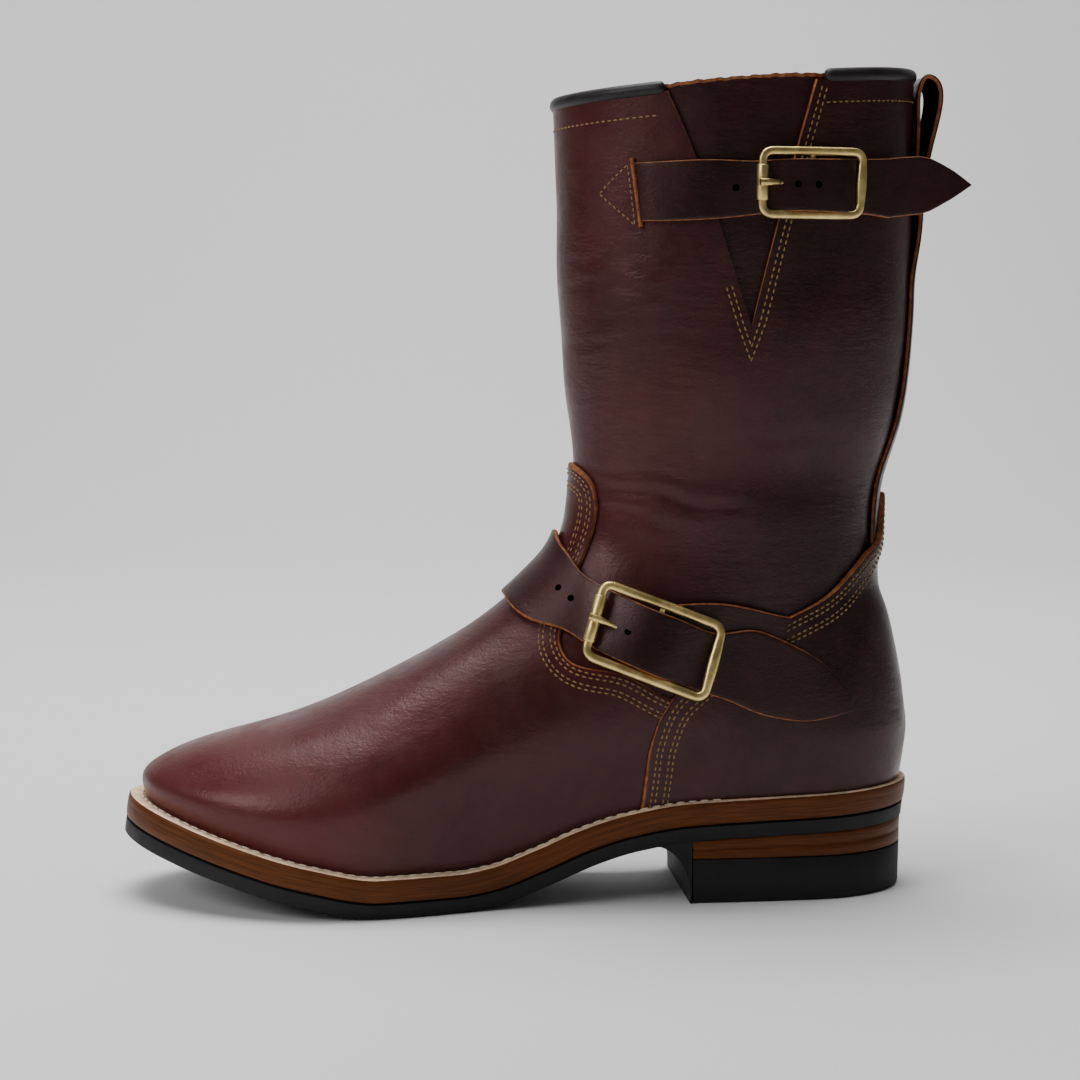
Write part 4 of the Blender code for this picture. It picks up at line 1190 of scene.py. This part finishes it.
class BOOT_OT_straps(bpy.types.Operator):
    """Makes the instep strap, the collar strap and the chapes that hold the buckles"""

    bl_idname = "boot.straps"
    bl_label = "Straps"

    def execute(self, context):
        marks = ruler(STRAP_WIDTH, 0.0012)
        instep = strap_middle(INSTEP_STRAP, 300, marks, STRAP_THICKNESS)
        self.cut("instep_strap", instep, marks, STRAP_THICKNESS)
        top = strap_middle(TOP_STRAP, 120, marks, STRAP_THICKNESS)
        self.cut("top_strap", np.concatenate([top, self.tail(top, marks)]), marks, STRAP_THICKNESS)
        self.punch("boot_instep_holes", INSTEP_STRAP, INSTEP_HOLES)
        self.punch("boot_top_holes", TOP_STRAP, TOP_HOLES)
        for node, rows in (("top_chape", TOP_CHAPE), ("instep_chape", INSTEP_CHAPE)):
            middle = strap_middle(rows, 50, marks, CHAPE_THICKNESS)
            self.cut(node, middle, marks, CHAPE_THICKNESS, 0.0005)
        self.slit_lip()
        return {"FINISHED"}

    def cut(self, node, middle, marks, thickness, radius=EDGE_RADIUS):
        """A strip of strap leather in the place of its node."""
        mesh = strip(middle, thickness, marks, STRAP_WIDTH, radius)
        finish_piece("boot_" + node, mesh, ("strap_leather", "raw_edge"), (node,))

    def tail(self, middle, marks):
        """The collar strap's free end, which goes on from its table and bends a little."""
        last = middle[-1]
        heading = unit(last[len(marks) // 2] - middle[-3][len(marks) // 2])
        up = unit(last[-1] - last[0])
        centre = last.mean(0)
        span = np.linalg.norm(last[-1] - last[0])
        stations = []
        for reach in np.linspace(0.0012, TAIL_REACH, 32):
            share = reach / TAIL_REACH
            half = span / 2 * np.interp(share, TAIL[0], TAIL[1])
            bend = np.array([0.0, -0.0010 - 0.0022 * share, 0.0060 - 0.0026 * share]) * share
            across = (marks * 2 - 1)[:, None] * half
            stations.append(centre + heading * reach + bend + up * across)
        return stations

    def slit_lip(self):
        """The rough lip of the slit that the collar strap comes out of."""
        high, low = SLIT
        t = np.linspace(0, 1, 40)
        line = lasted(*between(high, low, t), 0.0008)
        ahead = unit(np.gradient(line, axis=0))
        square = unit(lasted(high.round, 14.6, 1.0) - lasted(high.round, 14.6, 0.0))
        lip = [(place, unit(np.cross(way, square)), square, 1.0) for place, way in zip(line, ahead)]
        mesh = swept(bar_rings(lip, 0.0016, 0.0026, 10, 1.0))
        finish_piece("boot_slit_lip", mesh, ("raw_edge",))

    def punch(self, name, table, holes):
        """Punched holes laid on a strap as discs painted in shade, with a soft rim."""
        rows = np.array(table)
        mesh = bmesh.new()
        for hole in holes:
            row = spline(np.arange(len(rows)), rows, np.array([hole.row, hole.row + 0.05]))
            place = row[:, 0] * (1 - hole.across) + row[:, 2] * hole.across
            level = row[:, 1] * (1 - hole.across) + row[:, 3] * hole.across
            low = lasted(place, level, row[:, 4] + STRAP_THICKNESS, worn=False)
            high = lasted(place, level, row[:, 4] + STRAP_THICKNESS + 0.001, worn=False)
            square, along = Vector(unit(high[0] - low[0])), Vector(unit(low[1] - low[0]))
            across = square.cross(along)
            turned = Matrix((along, across, square)).transposed().to_4x4()
            turned.translation = Vector(low[0]) + square * 0.00022
            made = bmesh.ops.create_circle(
                mesh, cap_ends=True, segments=20, radius=HOLE_RADIUS, matrix=turned
            )
            base = [f for f in mesh.faces if all(v in made["verts"] for v in f.verts)]
            inner = bmesh.ops.inset_region(mesh, faces=base, thickness=0.0003)
            bmesh.ops.translate(mesh, vec=-square * 0.00014, verts=[v for f in base for v in f.verts])
            for face in inner["faces"]:
                face.material_index = 1
        finish_piece(name, mesh, ("hole_painted_shade", "raw_edge"))


def bar_rings(line, wide, high, sides=14, power=0.8):
    """Rings round a line of places, each with its two cross directions."""
    turn = np.linspace(0, 2 * np.pi, sides + 1)[:-1]
    flat = np.sign(np.cos(turn)) * np.abs(np.cos(turn)) ** power
    tall = np.sign(np.sin(turn)) * np.abs(np.sin(turn)) ** power
    rings = []
    for place, across, up, size in line:
        rings.append(place + np.outer(flat, across) * wide * size / 2 + np.outer(tall, up) * high * size / 2)
    return np.array(rings)


def buckle_pieces(which, rows, lifts, rod, wide, strap_top):
    """A buckle's frame with its centre bar, the roller on its front bar, and the prong."""

    def brass(part, mesh, *nodes):
        finish_piece("boot_" + which + part, mesh, ("brass",), nodes)

    rows = np.array(rows)
    corners = lasted(rows[:, 0], rows[:, 1], 0.0, worn=False)[:, [0, 2]]
    ends = []
    for pair, lift in (((0, 3), lifts[0]), ((1, 2), lifts[1])):
        place, level = rows[list(pair)].mean(0)
        ends.append(lasted(place, level, lift, worn=False))
    centre = (ends[0] + ends[1]) / 2
    place, level = rows.mean(0)
    rough = lasted(place, level, 1.0, worn=False) - lasted(place, level, 0.0, worn=False)
    ahead = unit(ends[1] - ends[0])
    square = unit(rough - ahead * (rough @ ahead))
    reach = (corners[:, 0] - centre[0]) * square[0] + (corners[:, 1] - centre[2]) * square[2]
    places = np.stack([corners[:, 0], centre[1] - reach / square[1], corners[:, 1]], -1)
    line = []
    round_by = 0.0042
    centre_of = places.mean(0)
    for i in range(4):
        here = places[i]
        back, ahead = unit(places[i - 1] - here), unit(places[(i + 1) % 4] - here)
        for t in np.linspace(0, 1, 9):
            at = here + back * round_by * (1 - t) ** 2 + ahead * round_by * t**2
            line.append((at, unit(-(ahead * (1 - t) + back * t)), square, 1.0))
        side = places[(i + 1) % 4] - here
        span = np.linalg.norm(side)
        for t in np.linspace(0, 1, 12)[1:-1]:
            at = here + side / span * (round_by + (span - 2 * round_by) * t)
            swell = 1 + (0.25 if i == 1 else 0.06) * np.sin(np.pi * t)
            across = unit(np.cross(square, side))
            line.append((at, across * np.sign(across @ (at - centre_of)), square, swell))
    brass("_frame_bar", swept(bar_rings(line, wide, rod), round_path=True), which + "_buckle_frame")
    along = unit(places[0] + places[3] - places[1] - places[2])
    top, bottom = (places[0] + places[1]) / 2, (places[2] + places[3]) / 2
    up = unit(top - bottom)
    bar = []
    for t in np.linspace(0, 1, 12):
        dip = square * 0.0012 * np.sin(np.pi * t) ** 0.4
        bar.append((top + (bottom - top) * t - dip, along, square, 1.0))
    brass("_centre_bar", swept(bar_rings(bar, 0.0021, 0.0021)))
    front = (places[0] + places[3]) / 2
    front_up = unit(places[0] - places[3])
    half = front_up * (np.linalg.norm(places[0] - places[3]) / 2 - 0.0050)
    across = unit(np.cross(front_up, square))
    sizes = (0.80, 0.95, 1.0, 1.0, 1.0, 1.0, 0.95, 0.80)
    marks = (-1.0, -0.985, -0.95, -0.3, 0.3, 0.95, 0.985, 1.0)
    roll = [(front + half * t, across, square, size) for t, size in zip(marks, sizes)]
    thick = rod + 0.0020
    brass("_roll", swept(bar_rings(roll, thick, thick, 24, 1.0)), which + "_buckle_roller")
    middle = (top + bottom) / 2
    reach = (front - middle) @ along
    path = []
    for turn in np.radians(np.linspace(-150, -10, 10)):
        out = np.cos(turn) * square - np.sin(turn) * along
        path.append((middle + 0.0024 * out, up, out, 1.0))
    over_roll = rod / 2 + 0.0019
    on_strap = (strap_top - 0.0012, strap_top - 0.0012, strap_top + 0.0004)
    on_roll = (over_roll - 0.0004, over_roll, over_roll - 0.0002)
    for share in np.linspace(0.20, 1.10, 24):
        height = np.interp(share, (0.0, 0.62, 0.72, 0.86, 0.98, 1.10), on_strap + on_roll)
        size = np.interp(share, (0.60, 0.78, 0.92), (0.60, 0.74, 1.0))
        path.append((middle + along * reach * share + square * height, up, square, size))
    brass("_tongue", swept(bar_rings(path, 0.0026, 0.0019, 12)), which + "_buckle_prong")


class BOOT_OT_buckles(bpy.types.Operator):
    """Makes both roller buckles"""

    bl_idname = "boot.buckles"
    bl_label = "Buckles"

    def execute(self, context):
        buckle_pieces("top", TOP_BUCKLE, (0.0062, 0.0082), rod=0.0022, wide=0.0030, strap_top=0.0012)
        buckle_pieces("instep", INSTEP_BUCKLE, (0.0108, 0.0104), rod=0.0026, wide=0.0034, strap_top=0.0005)
        return {"FINISHED"}


class BOOT_OT_sole(bpy.types.Operator):
    """Makes the welt, midsole, outsole and heel"""

    bl_idname = "boot.sole"
    bl_label = "Sole and heel"

    def execute(self, context):
        welt_rows = (
            (MIDSOLE_TOP + 0.00005, 1.0, -0.0002),
            (MIDSOLE_TOP + 0.0010, 1.0, 0.0),
            (STACK - 0.0008, 1.0, 0.0),
            (STACK - 0.0002, 1.0, -0.0003),
            (STACK, 1.0, -0.0009),
            (STACK, 1.0, -0.0030),
            (STACK, -1.0, -0.0035),
            (MIDSOLE_TOP + 0.00005, -1.0, -0.0035),
        )
        rings = []
        for lift, margin, taper in welt_rows:
            outer, inner = outline(margin, taper)
            loop = np.concatenate([outer, inner[-2:0:-1]])
            rings.append(over_sole(*loop.T, lift))
        mesh = swept(np.array(rings).transpose(1, 0, 2), True, [row[0] for row in welt_rows])
        for face in mesh.faces:
            heights = [v[mesh.verts.layers.float["lift"]] for v in face.verts]
            face.material_index = int(min(heights) > STACK - 0.0004)
        finish_piece("boot_welt", mesh, ("sole_edge", "welt_top"), ("welt",))
        low, high = OUTSOLE_TOP + GAP, MIDSOLE_TOP
        rows = ((low, -0.0016), (low + 0.0004, -0.0010), (low + 0.0020, -0.0006))
        rows += ((high - 0.0006, -0.0002), (high, -0.0002))
        sole_plate("boot_midsole", rows, ("sole_edge",), ("midsole",))
        rows = ((0.0, -0.0026), (0.0005, -0.0020), (OUTSOLE_TOP - 0.0006, -0.0013), (OUTSOLE_TOP, -0.0020))
        sole_plate("boot_outsole", rows, ("rubber",), ("outsole",))
        line = [(BREAST - GAP, 0.0), (BREAST - 0.0010, 0.0)]
        for turn in np.radians(np.arange(0, 91, 6)):
            line.append((BREAST - 0.0150 + 0.0140 * np.cos(turn), 0.0032 + 0.0190 * np.sin(turn)))
        line += [(BREAST - 0.0150, 0.0260), (BREAST - GAP, 0.0265)]
        line = np.array(line)
        outer, inner = outline(1.0, -0.0024)
        sides = [np.interp(line[:, 0], side[::-1, 0], side[::-1, 1]) for side in (outer, inner)]
        rings = []
        for t in np.linspace(0, 1, 20):
            rings.append(np.stack([line[:, 0], sides[0] + (sides[1] - sides[0]) * t, line[:, 1]], -1))
        finish_piece("boot_breast_flap", swept(np.array(rings)), ("rubber",))
        self.heel()
        return {"FINISHED"}

    def heel(self):
        """The rubber block and the stacked lift over it."""
        outer, inner = outline(1.0, -0.0026)
        sides = [side[side[:, 0] > BREAST + 0.001] for side in (outer, inner)]
        left, right = sides[0][-1, 1], sides[1][-1, 1]
        cross = np.linspace(-1, 1, 15)[1:-1]
        front_y = (left + right) / 2 - cross * (left - right) / 2
        front = np.stack([np.full(len(cross), BREAST), front_y], -1)[::-1]
        corner = [(BREAST, left), (BREAST, right)]
        loop = np.concatenate([sides[0], corner[:1], front, corner[1:], sides[1][:0:-1]])
        middle = loop.mean(0)
        out = unit(loop - middle)

        def ring(height, inset):
            return np.column_stack([loop - out * inset, np.broadcast_to(height, len(loop))])

        block = [ring(0.0, 0.0011), ring(0.0004, 0.0006), ring(0.0012, 0.0003)]
        block += [ring(LIFT_BOTTOM - 0.0005, 0.0), ring(LIFT_BOTTOM, 0.0004)]
        mesh = swept(np.array(block))
        finish_piece("boot_heel_block", mesh, ("rubber",), ("heel_block",))
        top = underside(loop[:, 0]) + 0.0002
        low = LIFT_BOTTOM + GAP
        shares = (0.0, 0.05, 0.44, 0.49, 0.51, 0.56, 0.95, 1.0)
        insets = (0.0005, 0.0, 0.0, 0.0005, 0.0005, 0.0, -0.0002, 0.0003)
        rings = [ring(low + (top - low) * share, inset) for share, inset in zip(shares, insets)]
        mesh = swept(np.array(rings).transpose(1, 0, 2)[:, ::-1], True)
        layer = mesh.verts.layers.float.new("lift")
        for vertex in mesh.verts:
            vertex[layer] = vertex.co.z
        finish_piece("boot_heel_lift", mesh, ("sole_edge",), ("heel_lift",))


class BOOT_OT_seams(bpy.types.Operator):
    """Sews the upper, the overlays and the welt"""

    bl_idname = "boot.seams"
    bl_label = "Seams"

    def execute(self, context):
        vamp, counter, upper = (surface_of("boot_" + name) for name in ("vamp", "counter", "upper"))
        marks = np.linspace(0, 1, 500)
        vamp_edge = at_marks(mirrored(VAMP_TOP), marks)
        heel_edge = [EdgeRow(-row.round, row.level) for row in (*COUNTER_FRONT[:-1], *COUNTER_TOP)]
        heel_edge = at_marks(heel_edge + [*COUNTER_TOP[-2::-1], *COUNTER_FRONT[-2::-1]], marks)
        overlays = (("boot_vamp_seams", vamp_edge, vamp), ("boot_counter_seams", heel_edge, counter))
        for name, edge, tree in overlays:
            seams = Seams()
            for distance in SEAM_ROWS:
                seams.sew(beside(*edge.T, distance, 10 + int(distance * 4000), 0.0040), tree)
            self.finish(name, seams)
        seams = Seams()
        path = np.linspace(0.668, 2.375, 400)
        seams.sew(lasted(path, float(COLLAR), 0.0010) - [0, 0, COLLAR_SEAM_DROP], upper)
        t = np.linspace(0.0, 0.985, 200)
        back_edge = between(NOTCH_POINT, NOTCH_ENDS[1], t)
        front_edge = between(NOTCH_POINT, NOTCH_ENDS[0], t * 0.17)
        for distance in NOTCH_SEAM_ROWS:
            low = NOTCH_POINT.level - distance * 88
            back_line = beside(*back_edge, -distance, 2)
            front_line = beside(*front_edge, distance, 2)
            point = lasted(NOTCH_POINT.round, low, 0.0010)
            line = np.concatenate([front_line[::-4][:-3], point[None], back_line[6:]])
            seams.sew(line, upper)
        for start, end in SLIT_SEAM:
            t = np.linspace(0, 1, 60)
            seams.sew(lasted(*between(start, end, t)), upper, SLIT_PITCH)
        self.finish("boot_shaft_seams", seams)
        welt = surface_of("boot_welt")
        seams = Seams()
        outer, inner = outline(0.45, 0.0, 400)
        for side in (outer, inner):
            line = over_sole(*side[side[:, 0] < -0.030].T, STACK)
            seams.sew(line, welt, WELT_PITCH, 0.80, 0.0)
        self.finish("boot_welt_seam", seams, "welt_thread", "welt_leather")
        return {"FINISHED"}

    def finish(self, name, seams, thread="tan_thread", slot="upper_leather"):
        finish_piece(name, seams.mesh, (thread,))


# The camera fitted to the photograph, and the soft lights round the boot.
CAMERA_PLACE = (-0.1747, -0.8766, 0.220)
CAMERA_AHEAD = (0.0868, 0.9916, -0.0958)
CAMERA_LENS = 76.38
LightRow = namedtuple("LightRow", "name place aim size power")
LIGHTS = rows_of(
    LightRow,
    ("overhead", (-0.35, 0.15, 1.7), (-0.10, 0.0, 0.1), 1.3, 20.0),
    ("key", (-1.3, -0.75, 0.95), (-0.12, 0.0, 0.12), 0.8, 9.0),
    ("backdrop", (0.0, 0.4, 2.2), (0.0, 2.0, 0.5), 1.6, 42.0),
)
WORLD_LIGHT = 0.10


class BOOT_OT_stage(bpy.types.Operator):
    """Sets the floor, the soft lights and the camera"""

    bl_idname = "boot.stage"
    bl_label = "Stage"

    def execute(self, context):
        scene = context.scene
        sweep = [(-2.5, 0.0), (1.2, 0.0)]
        for turn in np.radians(range(6, 91, 6)):
            sweep.append((1.2 + 0.8 * np.sin(turn), 0.8 - 0.8 * np.cos(turn)))
        sweep.append((2.0, 3.5))
        mesh = bmesh.new()
        flat_grid(mesh, 2, len(sweep))
        for vertex in mesh.verts:
            y, z = sweep[int(round((vertex.co.y + 0.5) * (len(sweep) - 1)))]
            vertex.co = (vertex.co.x * 9.0, y, z - 0.0002)
        for face in mesh.faces:
            face.smooth = True
        data = bpy.data.meshes.new("studio_floor")
        mesh.to_mesh(data)
        mesh.free()
        floor = bpy.data.objects.new("studio_floor", data)
        scene.collection.objects.link(floor)
        material, shader = new_finish("floor_finish")
        shader.inputs["Base Color"].default_value = (*scene.boot_colours.floor, 1.0)
        shader.inputs["Roughness"].default_value = 0.8
        shader.inputs["Specular IOR Level"].default_value = 0.2
        data.materials.append(material)
        for row in LIGHTS:
            data = bpy.data.lights.new(row.name, "AREA")
            data.shape = "DISK"
            data.size = row.size
            data.energy = row.power
            light = bpy.data.objects.new(row.name, data)
            light.location = row.place
            light.rotation_euler = (Vector(row.aim) - light.location).to_track_quat("-Z", "Y").to_euler()
            scene.collection.objects.link(light)
        world = bpy.data.worlds.new("studio")
        world.use_nodes = True
        background = world.node_tree.nodes["Background"]
        background.inputs[0].default_value = (1.0, 1.0, 1.0, 1.0)
        background.inputs[1].default_value = WORLD_LIGHT
        scene.world = world
        camera_data = bpy.data.cameras.new("camera")
        camera_data.lens = CAMERA_LENS
        camera_data.sensor_width = 36.0
        camera = bpy.data.objects.new("camera", camera_data)
        ahead = Vector(CAMERA_AHEAD).normalized()
        camera.location = CAMERA_PLACE
        camera.rotation_euler = ahead.to_track_quat("-Z", "Y").to_euler()
        scene.collection.objects.link(camera)
        scene.camera = camera
        return {"FINISHED"}


STEPS = (
    BOOT_OT_finishes,
    BOOT_OT_upper,
    BOOT_OT_overlays,
    BOOT_OT_gusset,
    BOOT_OT_binding,
    BOOT_OT_backstay,
    BOOT_OT_straps,
    BOOT_OT_buckles,
    BOOT_OT_sole,
    BOOT_OT_seams,
    BOOT_OT_stage,
)


class BOOT_PT_panel(bpy.types.Panel):
    """Sizes, colours and steps of the boot"""

    bl_idname = "BOOT_PT_panel"
    bl_label = "Engineer boot"
    bl_space_type = "VIEW_3D"
    bl_region_type = "UI"
    bl_category = "Boot"

    def draw(self, context):
        for group in (context.scene.boot_leather, context.scene.boot_colours):
            for name in group.__annotations__:
                self.layout.prop(group, name)
        for step in STEPS:
            self.layout.operator(step.bl_idname)


CLASSES = (BootLeather, BootColours, *STEPS, BOOT_PT_panel)


def register():
    for item in CLASSES:
        bpy.utils.register_class(item)
    bpy.types.Scene.boot_leather = PointerProperty(type=BootLeather)
    bpy.types.Scene.boot_colours = PointerProperty(type=BootColours)


def unregister():
    del bpy.types.Scene.boot_colours
    del bpy.types.Scene.boot_leather
    for item in reversed(CLASSES):
        bpy.utils.unregister_class(item)


def main():
    register()
    for step in STEPS:
        group, name = step.bl_idname.split(".")
        result = getattr(getattr(bpy.ops, group), name)()
        if result != {"FINISHED"}:
            raise RuntimeError(step.bl_label + " did not finish")


if __name__ == "__main__":
    main()
